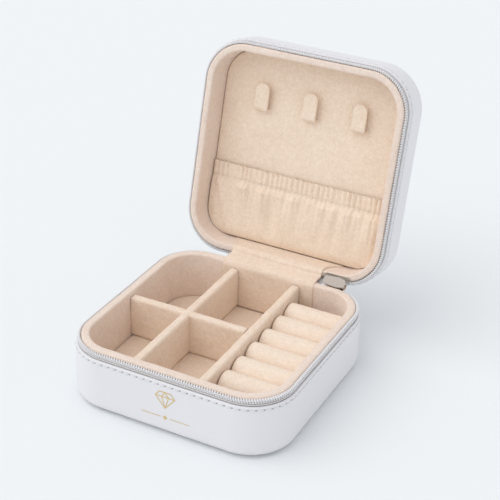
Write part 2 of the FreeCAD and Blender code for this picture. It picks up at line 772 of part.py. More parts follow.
def build():
    """All nodes by name, with the lid open."""
    base_edge = BASE_CREST_Z - COIL_BELOW_CREST
    lid_edge = LID_CREST_Z + COIL_BELOW_CREST
    tape_edge = base_edge - COIL_HEIGHT
    lid_tape_edge = lid_edge + COIL_HEIGHT
    lining_foot = BOTTOM_BOARD_TOP + LAYER_GAP
    nodes = {
        "base_leather_wrap": base_leather_wrap(),
        "base_bottom_panel": base_bottom_panel(),
        "base_side_board": base_side_board(),
        "base_bottom_board": base_bottom_board(),
        "base_zip_tape": zip_tape(tape_edge, -1),
        "base_zip_coil": zip_coil(base_edge, -1),
        "base_velvet_lining": lining(BASE_CREST_Z, lining_foot, BASE_WALL_INSET),
        "base_rim_core": rim_core(BASE_CREST_Z, lining_foot, BASE_WALL_INSET),
        "base_floor_pad": base_floor_pad(),
        "ring_bed": ring_bed(),
        "ring_partition": ring_partition(),
        "divider_long": divider_long(),
        "divider_cross": divider_cross(),
        "hinge_strap": hinge_strap(),
        "hinge_velvet_band": hinge_velvet_band(),
        "front_emblem": front_emblem(),
    }
    nodes.update(ring_rolls())
    lid = {
        "lid_leather_wrap": lid_leather_wrap(),
        "lid_side_board": lid_side_board(),
        "lid_top_board": lid_top_board(),
        "lid_top_foam": lid_top_foam(),
        "lid_zip_tape": zip_tape(lid_tape_edge, 1),
        "lid_zip_coil": zip_coil(lid_edge, 1),
        "lid_velvet_lining": lining(LID_CREST_Z, lid_lining_foot(), LID_WALL_INSET).cut(slider_sweep()),
        "lid_rim_core": rim_core(LID_CREST_Z, lid_lining_foot(), LID_WALL_INSET).cut(slider_sweep()),
        "lid_back_panel": lid_back_panel(),
        "lid_pocket": lid_pocket(),
        "pocket_elastic": pocket_elastic(),
    }
    lid.update(necklace_hooks())
    nodes.update({name: opened(shape) for name, shape in lid.items()})
    slider = {"zip_slider": zip_slider(), "slider_bail": slider_bail(), "zip_pull_tab": zip_pull_tab()}
    nodes.update({name: opened(shape, SLIDER_SHARE) for name, shape in slider.items()})
    return nodes


os.makedirs("parts", exist_ok=True)
for node_name, node_shape in build().items():
    print(node_name, node_shape.isValid(), len(node_shape.Solids), round(node_shape.Volume, 1))
    node_shape.exportStep(f"parts/{node_name}.step")
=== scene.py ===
"""Looks of a small square zip-round travel jewelry case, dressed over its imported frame."""

import json
import logging
import math
from dataclasses import dataclass
from enum import Enum
from typing import Callable, Iterable, List, Optional, Sequence, Tuple, Union

import bmesh
import bpy
from mathutils import Matrix, Vector, noise
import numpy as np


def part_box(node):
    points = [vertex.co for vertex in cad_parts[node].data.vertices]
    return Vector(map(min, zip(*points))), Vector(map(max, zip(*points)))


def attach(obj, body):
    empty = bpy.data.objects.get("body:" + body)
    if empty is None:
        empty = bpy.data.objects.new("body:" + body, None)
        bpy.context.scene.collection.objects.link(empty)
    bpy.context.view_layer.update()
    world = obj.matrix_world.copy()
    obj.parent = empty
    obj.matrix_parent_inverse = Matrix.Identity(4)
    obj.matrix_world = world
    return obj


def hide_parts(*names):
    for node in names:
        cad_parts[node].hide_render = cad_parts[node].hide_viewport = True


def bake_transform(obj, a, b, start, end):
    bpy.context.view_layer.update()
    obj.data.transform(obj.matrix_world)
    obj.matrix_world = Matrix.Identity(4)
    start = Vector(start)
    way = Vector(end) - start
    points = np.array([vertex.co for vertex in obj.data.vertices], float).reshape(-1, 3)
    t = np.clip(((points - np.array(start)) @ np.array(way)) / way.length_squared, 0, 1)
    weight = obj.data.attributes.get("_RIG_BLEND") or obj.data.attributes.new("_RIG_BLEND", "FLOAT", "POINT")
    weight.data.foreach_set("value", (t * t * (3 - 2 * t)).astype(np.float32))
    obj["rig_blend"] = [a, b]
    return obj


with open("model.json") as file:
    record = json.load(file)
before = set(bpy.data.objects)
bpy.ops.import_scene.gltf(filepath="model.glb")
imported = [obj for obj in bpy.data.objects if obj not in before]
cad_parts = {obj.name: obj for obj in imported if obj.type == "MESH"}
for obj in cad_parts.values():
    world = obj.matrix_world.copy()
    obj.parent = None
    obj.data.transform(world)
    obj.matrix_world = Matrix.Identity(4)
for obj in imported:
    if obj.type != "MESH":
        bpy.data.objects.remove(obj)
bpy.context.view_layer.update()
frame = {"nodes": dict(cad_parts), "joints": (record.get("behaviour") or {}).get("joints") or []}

MM = 0.001
FLAT = 19.8 * MM
BASE_WALL = 6.0 * MM
LID_WALL = 5.5 * MM
UP = Vector((0.0, 0.0, 1.0))
QUARTER = math.pi / 2
Colour = Tuple[float, float, float, float]
Point2 = Tuple[float, float]
log = logging.getLogger("jewelry_case")


class Body(Enum):
    """The rigid bodies that pieces ride on."""

    BASE = "base"
    LID = "lid"
    DIVIDERS = "divider_insert"
    SLIDER = "zip_slider_unit"
    PULL = "zip_pull"


class Slot(Enum):
    """The record's material slots."""

    LEATHER = "white_leather"
    VELVET = "velvet"
    BOARD = "board"
    FOAM = "foam"
    TAPE = "zip_tape"
    COIL = "zip_coil"
    ELASTIC = "elastic"
    METAL = "polished_metal"
    FOIL = "gold_foil"


# ---------------------------------------------------------------- finishes


class Number:
    """A number socket that takes part in sums; each sum adds a Math node."""

    def __init__(self, nodes: "Nodes", socket: bpy.types.NodeSocket) -> None:
        """Holds the socket and the node tree that it is in."""
        self.nodes = nodes
        self.socket = socket

    def _join(self, operation: str, first: "Operand", second: "Operand") -> "Number":
        """Adds one Math node over two operands."""
        node = self.nodes.add("ShaderNodeMath", {"operation": operation}, {0: first, 1: second})
        return Number(self.nodes, node.outputs[0])

    def __add__(self, other: "Operand") -> "Number":
        """Sum."""
        return self._join("ADD", self, other)

    __radd__ = __add__

    def __sub__(self, other: "Operand") -> "Number":
        """Difference."""
        return self._join("SUBTRACT", self, other)

    def __rsub__(self, other: "Operand") -> "Number":
        """Difference from a plain number."""
        return self._join("SUBTRACT", other, self)

    def __mul__(self, other: "Operand") -> "Number":
        """Product."""
        return self._join("MULTIPLY", self, other)

    __rmul__ = __mul__

    def __pow__(self, other: "Operand") -> "Number":
        """Power."""
        return self._join("POWER", self, other)

    def wave(self) -> "Number":
        """Sine of the value."""
        return self._join("SINE", self, 0.0)

    def size(self) -> "Number":
        """The value without its sign."""
        return self._join("ABSOLUTE", self, 0.0)


Operand = Union[Number, float]


class Nodes:
    """One procedural material under construction."""

    def __init__(self, name: str) -> None:
        """Starts an empty node tree under a new material's name."""
        self.material = bpy.data.materials.new(name)
        self.material.use_nodes = True
        self.tree = self.material.node_tree
        self.tree.nodes.clear()

    def add(self, kind: str, settings: Optional[dict] = None, sockets: Optional[dict] = None) -> bpy.types.Node:
        """Adds a node.

        Args:
            kind: the node's type name.
            settings: properties to set first; "stops" fills a colour ramp.
            sockets: values or links for its inputs, by name or place.

        Returns:
            The node.
        """
        node = self.tree.nodes.new(kind)
        for key, value in (settings or {}).items():
            if key == "stops":
                for index, (place, colour) in enumerate(value):
                    ramp = node.color_ramp.elements
                    stop = ramp[index] if index < len(ramp) else ramp.new(place)
                    stop.position = place
                    stop.color = colour
            else:
                setattr(node, key, value)
        for key, value in (sockets or {}).items():
            if isinstance(value, Number):
                value = value.socket
            if isinstance(value, bpy.types.NodeSocket):
                self.tree.links.new(value, node.inputs[key])
            else:
                node.inputs[key].default_value = value
        return node

    def place(self) -> bpy.types.NodeSocket:
        """The surface point in the piece's own coordinates."""
        return self.add("ShaderNodeTexCoord").outputs["Object"]

    def along(self) -> Tuple[Number, Number]:
        """The piece's UV map as two numbers: the way along it and the way across it, in metres.

        Returns:
            The two numbers.
        """
        uv = self.add("ShaderNodeTexCoord").outputs["UV"]
        parts = self.add("ShaderNodeSeparateXYZ", {}, {0: uv})
        return Number(self, parts.outputs[0]), Number(self, parts.outputs[1])

    def clouds(self, size: float, detail: float = 2.0, rough: float = 0.5) -> Number:
        """Smooth noise whose lumps are about one size, in metres."""
        sockets = {"Vector": self.place(), "Scale": 1.0 / size, "Detail": detail, "Roughness": rough}
        return Number(self, self.add("ShaderNodeTexNoise", {}, sockets).outputs[0])

    def cells(self, size: float) -> Number:
        """Pebbled cells of about one size, in metres."""
        sockets = {"Vector": self.place(), "Scale": 1.0 / size}
        return Number(self, self.add("ShaderNodeTexVoronoi", {"feature": "SMOOTH_F1"}, sockets).outputs[0])

    def blend(self, amount: Operand, first: Colour, second: Colour) -> bpy.types.NodeSocket:
        """Mixes two colours."""
        sockets = {0: amount, 6: first, 7: second}
        return self.add("ShaderNodeMix", {"data_type": "RGBA"}, sockets).outputs[2]

    def relief(self, height: Number, depth: float, strength: float = 1.0) -> bpy.types.NodeSocket:
        """A surface normal roughened by a height."""
        sockets = {"Height": height, "Distance": depth, "Strength": strength}
        return self.add("ShaderNodeBump", {}, sockets).outputs[0]

    def surface(self, sockets: dict) -> bpy.types.Material:
        """Ends the tree with a Principled shader and returns the material.

        Args:
            sockets: values or links for the shader's inputs.

        Returns:
            The material.
        """
        shader = self.add("ShaderNodeBsdfPrincipled", {}, sockets)
        self.add("ShaderNodeOutputMaterial", {}, {0: shader.outputs[0]})
        return self.material


def paint(red: float, green: float, blue: float) -> Colour:
    """An opaque colour."""
    return (red, green, blue, 1.0)


@dataclass(frozen=True)
class CoatedLeather:
    """Fine-grained, semi-matte coated leather."""

    name: str
    colour: Colour = paint(0.835, 0.825, 0.85)
    shade: Colour = paint(0.80, 0.79, 0.82)
    grain: float = 0.55 * MM
    relief: float = 0.035 * MM
    roughness: float = 0.40

    def material(self) -> bpy.types.Material:
        """Builds the finish.

        Returns:
            The material.
        """
        nodes = Nodes(self.name)
        grain = nodes.cells(self.grain) * 0.7 + nodes.clouds(self.grain * 0.8, 3.0) * 0.5
        scuffs = nodes.clouds(14 * MM, 4.0, 0.6)
        return nodes.surface({
            "Base Color": nodes.blend(scuffs, self.shade, self.colour),
            "Roughness": scuffs * 0.12 + (self.roughness - 0.06),
            "Coat Weight": 0.12,
            "Coat Roughness": 0.35,
            "Normal": nodes.relief(grain, self.relief, 0.55),
        })


@dataclass(frozen=True)
class Velvet:
    """Short-pile velvet that catches light along its edges."""

    name: str
    colour: Colour = paint(0.95, 0.80, 0.675)
    shade: Colour = paint(0.78, 0.62, 0.485)
    pile: float = 0.42 * MM
    mottle: float = 2.6 * MM
    relief: float = 0.24 * MM

    def material(self) -> bpy.types.Material:
        """Builds the finish.

        Returns:
            The material.
        """
        nodes = Nodes(self.name)
        fibres = nodes.clouds(self.pile, 4.0, 0.7)
        tufts = nodes.clouds(self.pile * 3.2, 3.0, 0.6)
        mottle = nodes.clouds(self.mottle, 4.0, 0.62)
        brushed = nodes.clouds(self.mottle * 4.5, 2.0)
        tone = fibres * 1.9 + tufts * 1.2 + mottle * 0.6 + brushed * 0.5 - 1.55
        return nodes.surface({
            "Base Color": nodes.blend(tone, self.shade, self.colour),
            "Roughness": 0.92,
            "Specular IOR Level": 0.12,
            "Sheen Weight": 0.35,
            "Sheen Roughness": 0.45,
            "Sheen Tint": paint(1.0, 0.93, 0.88),
            "Normal": nodes.relief(fibres * 0.7 + tufts * 0.9 + mottle * 0.5, self.relief, 0.9),
        })


@dataclass(frozen=True)
class WovenTape:
    """Woven zip tape with a fine herringbone."""

    name: str
    colour: Colour = paint(0.88, 0.85, 0.84)
    shade: Colour = paint(0.70, 0.67, 0.66)
    rib: float = 0.45 * MM

    def material(self) -> bpy.types.Material:
        """Builds the finish; the weave follows the piece's UV map.

        Returns:
            The material.
        """
        nodes = Nodes(self.name)
        run, across = nodes.along()
        lean = (across * (math.tau / (self.rib * 2.4))).wave().size() * 1.6
        weave = (run * (math.tau / self.rib) + lean).wave() * 0.5 + 0.5
        fuzz = nodes.clouds(0.2 * MM, 3.0)
        return nodes.surface({
            "Base Color": nodes.blend(weave * 0.7 + fuzz * 0.3, self.shade, self.colour),
            "Roughness": fuzz * 0.1 + 0.72,
            "Sheen Weight": 0.2,
            "Normal": nodes.relief(weave + fuzz * 0.4, 0.06 * MM, 0.8),
        })


@dataclass(frozen=True)
class Moulded:
    """Plastic, thread, foam or board: a tone with specks, a roughness and a fine relief."""

    name: str
    colour: Colour
    shade: Colour
    roughness: float
    speck: float
    relief: float = 0.02 * MM
    coat: float = 0.0

    def material(self) -> bpy.types.Material:
        """Builds the finish.

        Returns:
            The material.
        """
        nodes = Nodes(self.name)
        specks = nodes.clouds(self.speck, 4.0, 0.6)
        broad = nodes.clouds(self.speck * 12, 2.0)
        return nodes.surface({
            "Base Color": nodes.blend(specks * 0.6 + broad * 0.5 - 0.05, self.shade, self.colour),
            "Roughness": specks * 0.14 + (self.roughness - 0.07),
            "Coat Weight": self.coat,
            "Normal": nodes.relief(specks, self.relief, 0.6),
        })


@dataclass(frozen=True)
class PolishedMetal:
    """Plated or foiled metal with faint wipes and scratches."""

    name: str
    colour: Colour
    roughness: float
    wear: Colour
    relief: float = 0.004 * MM

    def material(self) -> bpy.types.Material:
        """Builds the finish.

        Returns:
            The material.
        """
        nodes = Nodes(self.name)
        wipes = nodes.clouds(1.8 * MM, 5.0, 0.65)
        grain = nodes.clouds(0.12 * MM, 3.0)
        return nodes.surface({
            "Base Color": nodes.blend(wipes ** 2.0, self.colour, self.wear),
            "Metallic": 1.0,
            "Roughness": wipes * 0.16 + grain * 0.05 + self.roughness,
            "Normal": nodes.relief(grain + wipes, self.relief, 0.5),
        })


class Palette:
    """Every finish of the case, made once."""

    def __init__(self) -> None:
        """Builds the materials."""
        self.leather = CoatedLeather("case_leather").material()
        self.panel = CoatedLeather("bottom_leather", roughness=0.5, grain=0.8 * MM).material()
        self.velvet = Velvet("case_velvet").material()
        self.roll_velvet = Velvet("roll_velvet", paint(0.97, 0.84, 0.72), paint(0.84, 0.69, 0.56)).material()
        self.rim_velvet = Velvet("rim_velvet", paint(0.93, 0.80, 0.715), paint(0.77, 0.63, 0.53)).material()
        self.lid_velvet = Velvet("lid_velvet", paint(0.99, 0.85, 0.715), paint(0.83, 0.67, 0.52)).material()
        self.tape = WovenTape("zip_tape").material()
        self.coil = Moulded(
            "coil_nylon", paint(0.93, 0.925, 0.94), paint(0.85, 0.845, 0.86), 0.30, 0.3 * MM, 0.01 * MM, 0.3
        ).material()
        self.thread = Moulded(
            "sewing_thread", paint(0.90, 0.90, 0.91), paint(0.70, 0.70, 0.73), 0.55, 0.16 * MM, 0.06 * MM
        ).material()
        self.cream_thread = Moulded(
            "cream_thread", paint(0.98, 0.93, 0.87), paint(0.86, 0.78, 0.70), 0.6, 0.16 * MM, 0.06 * MM
        ).material()
        self.board = Moulded(
            "grey_board", paint(0.46, 0.42, 0.37), paint(0.34, 0.31, 0.27), 0.85, 0.5 * MM, 0.08 * MM
        ).material()
        self.foam = Moulded(
            "open_foam", paint(0.88, 0.86, 0.78), paint(0.66, 0.62, 0.52), 0.9, 0.6 * MM, 0.25 * MM
        ).material()
        # Grey dots of painted shade: they stand for the shadow inside the needle holes.
        self.hole = Moulded(
            "needle_hole", paint(0.48, 0.47, 0.49), paint(0.38, 0.37, 0.39), 0.8, 0.2 * MM
        ).material()
        self.chrome = PolishedMetal(
            "pull_chrome", paint(0.78, 0.77, 0.76), 0.07, paint(0.62, 0.61, 0.60)
        ).material()
        # Both tones of the slider's metal are tinted beige as a painted reflection of the velvet round it; the wipes
        # between them are wear.
        self.slider = PolishedMetal(
            "slider_metal", paint(0.76, 0.67, 0.60), 0.14, paint(0.62, 0.53, 0.46)
        ).material()
        self.foil = PolishedMetal(
            "gold_foil", paint(0.80, 0.62, 0.32), 0.26, paint(0.62, 0.47, 0.24)
        ).material()


# ---------------------------------------------------------------- the case's outline and lid line


@dataclass(frozen=True)
class Outline:
    """The rounded square that every shell follows, run once round from the middle of the back."""

    half: float
    radius: float

    @property
    def straight(self) -> float:
        """Half the length of a side's straight part."""
        return self.half - self.radius

    @property
    def quarter(self) -> float:
        """The run from one side's middle to the next."""
        return 2 * self.straight + QUARTER * self.radius

    def frame(self, run: float, inset: float, height: float) -> Matrix:
        """Place and turn of a point on the outline.

        Args:
            run: the way round the outer edge, towards the right of the case first.
            inset: the distance inwards.
            height: the height.

        Returns:
            A matrix with X along the run, Y outwards and Z up.
        """
        turns, rest = divmod(run, self.quarter)
        bend = QUARTER * self.radius
        if rest < self.straight:
            spot, angle = Vector((rest, self.half - inset, 0)), 0.0
        elif rest < self.straight + bend:
            angle = (rest - self.straight) / self.radius
            out = Vector((math.sin(angle), math.cos(angle), 0))
            spot = Vector((self.straight, self.straight, 0)) + out * (self.radius - inset)
        else:
            angle = QUARTER
            spot = Vector((self.half - inset, 2 * self.straight + bend - rest, 0))
        turn = Matrix.Rotation(-QUARTER * turns, 4, "Z")
        spot.z = height
        return turn @ Matrix.Translation(spot) @ Matrix.Rotation(-angle, 4, "Z")

    def run_at(self, x: float, y: float) -> float:
        """The run of the outline's point next to a place.

        Args:
            x: the place towards the right.
            y: the place towards the back.

        Returns:
            The way round the outer edge.
        """
        turns = [(True, True), (True, False), (False, False), (False, True)].index((x >= 0, y >= 0))
        local = Matrix.Rotation(QUARTER * turns, 2) @ Vector((x, y))
        bend = QUARTER * self.radius
        if local.x < self.straight:
            rest = max(local.x, 0.0) if local.y >= self.straight else 0.0
        elif local.y >= self.straight:
            rest = self.straight + math.atan2(local.x - self.straight, local.y - self.straight) * self.radius
        else:
            rest = self.straight + bend + (self.straight - max(local.y, 0.0))
        return turns * self.quarter + rest

    def reach(self, across: float, inset: float) -> float:
        """How far the inset outline reaches from the middle line.

        Args:
            across: the distance along the middle line.
            inset: the outline's distance inwards.

        Returns:
            The reach.
        """
        bend = self.radius - inset
        over = max(abs(across) - self.straight, 0.0)
        return self.straight + math.sqrt(max(bend * bend - over * over, 0.0))

    def sweep(self, bm: bmesh.types.BMesh, profile: Sequence[Point2], step: float, closed: bool = True) -> None:
        """Carries an (inset, height) profile once round the outline.

        Args:
            bm: the mesh to add to.
            profile: the section's points.
            step: the spacing of the sections along the outer edge.
            closed: whether the section is a closed loop.
        """
        across = bm.verts.layers.float.get("across") or bm.verts.layers.float.new("across")
        verts = [bm.verts.new(self.frame(0.0, inset, height).translation) for inset, height in profile]
        reached = 0.0
        for index, vert in enumerate(verts):
            reached += (vert.co - verts[index - 1].co).length if index else 0.0
            vert[across] = reached
        pairs = list(zip(verts, verts[1:])) + ([(verts[-1], verts[0])] if closed else [])
        geom: list = verts + [bm.edges.new(pair) for pair in pairs]
        bends = max(int(QUARTER * self.radius / step), 6)
        geom = carry(bm, geom, Vector((self.straight, 0, 0)), step)
        centre = Vector((self.straight, self.straight, 0))
        spun = bmesh.ops.spin(bm, geom=geom, cent=centre, axis=-UP, angle=QUARTER, steps=bends)
        carry(bm, spun["geom_last"], Vector((0, -self.straight, 0)), step)
        corner = bm.verts[:] + bm.edges[:] + bm.faces[:]
        for quarter in range(1, 4):
            made = bmesh.ops.duplicate(bm, geom=corner)["geom"]
            copied = [part for part in made if isinstance(part, bmesh.types.BMVert)]
            bmesh.ops.rotate(bm, verts=copied, cent=(0, 0, 0), matrix=Matrix.Rotation(-QUARTER * quarter, 3, "Z"))
        bmesh.ops.remove_doubles(bm, verts=bm.verts[:], dist=1e-6)
        bmesh.ops.recalc_face_normals(bm, faces=bm.faces[:])

    def lay_map(self, bm: bmesh.types.BMesh) -> None:
        """Gives a swept mesh its UV map: the run and the way across, in metres.

        Args:
            bm: the mesh.
        """
        across = bm.verts.layers.float["across"]
        uv = bm.loops.layers.uv.new("run")
        whole = 4 * self.quarter
        for face in bm.faces:
            runs = [self.run_at(loop.vert.co.x, loop.vert.co.y) for loop in face.loops]
            for loop, run in zip(face.loops, runs):
                shift = whole if max(runs) - run > whole / 2 else 0.0
                loop[uv].uv = (run + shift, loop.vert[across])


def carry(bm: bmesh.types.BMesh, geom: list, shift: Vector, step: float) -> list:
    """Extrudes a section along a straight line in even steps.

    Args:
        bm: the mesh.
        geom: the section's vertices and edges.
        shift: the whole way.
        step: the spacing.

    Returns:
        The last section's vertices and edges.
    """
    count = max(int(shift.length / step), 1)
    for _ in range(count):
        edges = [part for part in geom if isinstance(part, bmesh.types.BMEdge)]
        made = bmesh.ops.extrude_edge_only(bm, edges=edges)["geom"]
        verts = [part for part in made if isinstance(part, bmesh.types.BMVert)]
        bmesh.ops.translate(bm, verts=verts, vec=shift / count)
        kept = set(verts)
        geom = verts + [e for e in made if isinstance(e, bmesh.types.BMEdge) and kept.issuperset(e.verts)]
    return geom


def arc(centre: Point2, radius: float, start: float, end: float, steps: int) -> List[Point2]:
    """Points on an arc of an (inset, height) section.

    Args:
        centre: its middle.
        radius: its radius.
        start: its first angle, in degrees.
        end: its last angle, in degrees.
        steps: how many parts it has.

    Returns:
        The points, with both ends.
    """
    points = []
    for index in range(steps + 1):
        angle = math.radians(start + (end - start) * index / steps)
        points.append((centre[0] + radius * math.cos(angle), centre[1] + radius * math.sin(angle)))
    return points


def line(start: Point2, end: Point2, steps: int) -> List[Point2]:
    """Points between two ends of a section's straight part, without the ends.

    Args:
        start: the first end.
        end: the last end.
        steps: how many parts it has.

    Returns:
        The points.
    """
    return [
        (start[0] + (end[0] - start[0]) * i / steps, start[1] + (end[1] - start[1]) * i / steps)
        for i in range(1, steps)
    ]


def pad_section(edge: float, foot: float, face: float, radius: float, dish: float) -> List[Point2]:
    """Section of a padded plate: from its foot up a rounded edge to its nearly flat face.

    Args:
        edge: the plate's inset.
        foot: height of its underside.
        face: height of its middle.
        radius: the rounding of its edge.
        dish: how much lower its face is near the edge.

    Returns:
        The section's points.
    """
    start = face - radius - 0.1 * MM
    points = [(edge, foot), (edge, start)] + arc((edge + radius, start), radius, 180, 90, 5)
    return points + [(edge + 3 * MM, face - dish), (edge + 6 * MM, face), (20 * MM, face)]


def flipped(profile: Sequence[Point2], about: float) -> List[Point2]:
    """A section turned upside down about a height."""
    return [(inset, 2 * about - height) for inset, height in profile]


def ripple(bm: bmesh.types.BMesh, amount: float, size: float, seed: float) -> None:
    """Moves every vertex along its normal by smooth noise, as on a hand-wrapped soft face.

    Args:
        bm: the mesh.
        amount: the largest move.
        size: the size of the waves.
        seed: where in the noise they start.
    """
    bm.normal_update()
    shift = Vector((seed, seed * 1.7, seed * 0.6))
    moves = [(vert, vert.normal * noise.noise(vert.co / size + shift) * amount) for vert in bm.verts]
    for vert, move in moves:
        vert.co += move


class Case:
    """The frame's measures, read from the CAD nodes."""

    def __init__(self) -> None:
        """Reads the outline, the heights and the hinge line."""
        low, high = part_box("base_leather_wrap")
        self.outline = Outline(high.x, 20.3 * MM)
        self.lip = high.z
        self.wrap_bottom = low.z
        self.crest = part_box("base_velvet_lining")[1].z
        self.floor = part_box("base_floor_pad")[1].z
        self.floor_inset = high.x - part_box("base_floor_pad")[1].x
        hinge = next(joint for joint in frame["joints"] if joint["name"] == "lid_hinge")
        self.hinge = Vector(hinge["pos_m"])
        self.open_angle = math.radians(hinge["range_deg"][1])
        lid_low, lid_high = self.shut_box("lid_leather_wrap")
        self.lid_lip = lid_low.z
        self.lid_top = lid_high.z
        self.lid_crest = self.shut_box("lid_velvet_lining")[0].z
        self.panel = self.shut_box("lid_back_panel")[0].z
        self.middle = (self.crest + self.lid_crest) / 2

    def opening(self, share: float = 1.0) -> Matrix:
        """The turn from the lid shut to a share of the lid open."""
        there = Matrix.Translation(self.hinge)
        return there @ Matrix.Rotation(-self.open_angle * share, 4, "X") @ there.inverted()

    def shut_box(self, node: str, share: float = 1.0) -> Tuple[Vector, Vector]:
        """Lowest and highest corners of a node of the open lid, where it lies with the lid shut.

        Args:
            node: the CAD node's name.
            share: the share of the opening to undo: 1 for a lid's node, 0 for a base's.

        Returns:
            The two corners.
        """
        back = self.opening(share).inverted()
        points = [back @ vert.co for vert in frame["nodes"][node].data.vertices]
        low = Vector(min(point[axis] for point in points) for axis in range(3))
        high = Vector(max(point[axis] for point in points) for axis in range(3))
        return low, high


@dataclass
class Maker:
    """Base of the sub-assemblies: it turns meshes into finished pieces."""

    case: Case
    palette: Palette

    def finish(
        self,
        bm: bmesh.types.BMesh,
        name: str,
        material: bpy.types.Material,
        slot: Slot,
        replaces: Iterable[str] = (),
        turn: Optional[Matrix] = None,
        body: Optional[Body] = None,
        rounds: int = 0,
    ) -> bpy.types.Object:
        """Makes a piece of a mesh, dresses it and lets it ride.

        Args:
            bm: the mesh, which is freed.
            name: the piece's name.
            material: its finish.
            slot: the record's slot that the finish belongs to; not used.
            replaces: CAD nodes that it stands for.
            turn: a turn from the lid shut to its place at rest.
            body: the body that it rides on, or none for a piece that bends between two.
            rounds: levels of subdivision.

        Returns:
            The piece.
        """
        if turn is not None:
            bmesh.ops.transform(bm, matrix=turn, verts=bm.verts[:])
        mesh = bpy.data.meshes.new(name)
        bm.to_mesh(mesh)
        bm.free()
        mesh.polygons.foreach_set("use_smooth", [True] * len(mesh.polygons))
        mesh.materials.append(material)
        piece = bpy.data.objects.new(name, mesh)
        bpy.context.scene.collection.objects.link(piece)
        if rounds:
            modifier = piece.modifiers.new("soften", "SUBSURF")
            modifier.levels = rounds
            modifier.render_levels = rounds
        if body is not None:
            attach(piece, body.value)
        if replaces:
            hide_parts(*replaces)
        log.info("%s: %d faces", name, len(mesh.polygons))
        return piece

    def dress(self, nodes: Iterable[str], material: bpy.types.Material, slot: Slot) -> None:
        """Gives CAD nodes that are shown as they are a finish.

        Args:
            nodes: their names.
            material: the finish.
            slot: the record's slot that the finish belongs to; not used.
        """
        for name in nodes:
            node = frame["nodes"][name]
            node.data.materials.clear()
            node.data.materials.append(material)
            log.info("%s: dressed", name)


def stitch(bm: bmesh.types.BMesh, place: Matrix, length: float, thick: float, lean: float) -> None:
    """Adds one slanted stitch that dives into its holes at both ends.

    Args:
        bm: the mesh to add to.
        place: its place on the surface.
        length: its length.
        thick: its thread's thickness.
        lean: its slant.
    """
    size = Matrix.Diagonal((length / 2, thick * 0.45, thick / 2, 1.0))
    turn = place @ Matrix.Rotation(lean, 4, "Y") @ size @ Matrix.Rotation(QUARTER, 4, "Y")
    bmesh.ops.create_uvsphere(bm, u_segments=8, v_segments=6, radius=1.0, matrix=turn)


@dataclass(frozen=True)
class StitchRow:
    """A row of machine stitches round a shell, below its folded lip."""

    pitch: float = 3.3 * MM
    length: float = 2.2 * MM
    thick: float = 0.62 * MM
    lean: float = math.radians(9)
    drop: float = 1.45 * MM
    dimple: float = 0.42 * MM
    spread: float = 0.55 * MM
    # size of the dark dots of painted shade in the needle holes
    hole: float = 0.48 * MM

    def holes(self, outline: Outline, gap: float) -> List[float]:
        """Spaces the needle holes evenly.

        Args:
            outline: the case's outline.
            gap: the stretch without stitches, each side of the middle of the back.

        Returns:
            The runs of the holes.
        """
        whole = 4 * outline.quarter - 2 * gap
        count = round(whole / self.pitch)
        return [gap + whole * index / count for index in range(count + 1)]

    def press(self, bm: bmesh.types.BMesh, outline: Outline, holes: Sequence[float], height: float) -> None:
        """Presses the leather in along the row and at each hole.

        Args:
            bm: the leather.
            outline: the case's outline.
            holes: runs of the needle holes.
            height: height of the row.
        """
        first, pitch = holes[0], holes[1] - holes[0]
        for vert in bm.verts:
            rise = vert.co.z - height
            if abs(rise) > 3 * self.spread:
                continue
            run = outline.run_at(vert.co.x, vert.co.y)
            here = outline.frame(run, 0.0, vert.co.z)
            inset = (here.translation - vert.co).length
            if inset > 0.4 * MM:
                continue
            near = (run - first) / pitch
            off = (near - round(near)) * pitch
            inside = -0.5 <= near <= len(holes) - 0.5
            valley = 0.35 * math.exp(-((rise / (1.3 * self.spread)) ** 2))
            pit = math.exp(-(rise * rise + off * off) / (self.spread * self.spread)) if inside else 0.0
            vert.co -= here.to_3x3() @ Vector((0, 1, 0)) * self.dimple * (valley + pit)

    def sew(self, outline: Outline, holes: Sequence[float], height: float, slope: float) -> bmesh.types.BMesh:
        """Sews from hole to hole.

        Args:
            outline: the case's outline.
            holes: runs of the needle holes.
            height: height of the row.
            slope: which way the stitches slant, 1 or -1.

        Returns:
            The stitches.
        """
        bm = bmesh.new()
        for start, end in zip(holes, holes[1:]):
            place = outline.frame((start + end) / 2, 0.0, height)
            stitch(bm, place, self.length, self.thick, self.lean * slope)
        return bm

    def punch(self, outline: Outline, holes: Sequence[float], height: float) -> bmesh.types.BMesh:
        """Sets dark dots of painted shade at the bottoms of the dimples, for the shadow inside the needle holes.

        Args:
            outline: the case's outline.
            holes: runs of the needle holes.
            height: height of the row.

        Returns:
            The holes.
        """
        bm = bmesh.new()
        size = Matrix.Diagonal((self.hole, self.hole * 0.5, self.hole * 0.6, 1.0))
        for run in holes:
            place = outline.frame(run, self.dimple, height)
            bmesh.ops.create_uvsphere(bm, u_segments=8, v_segments=6, radius=1.0, matrix=place @ size)
        return bm


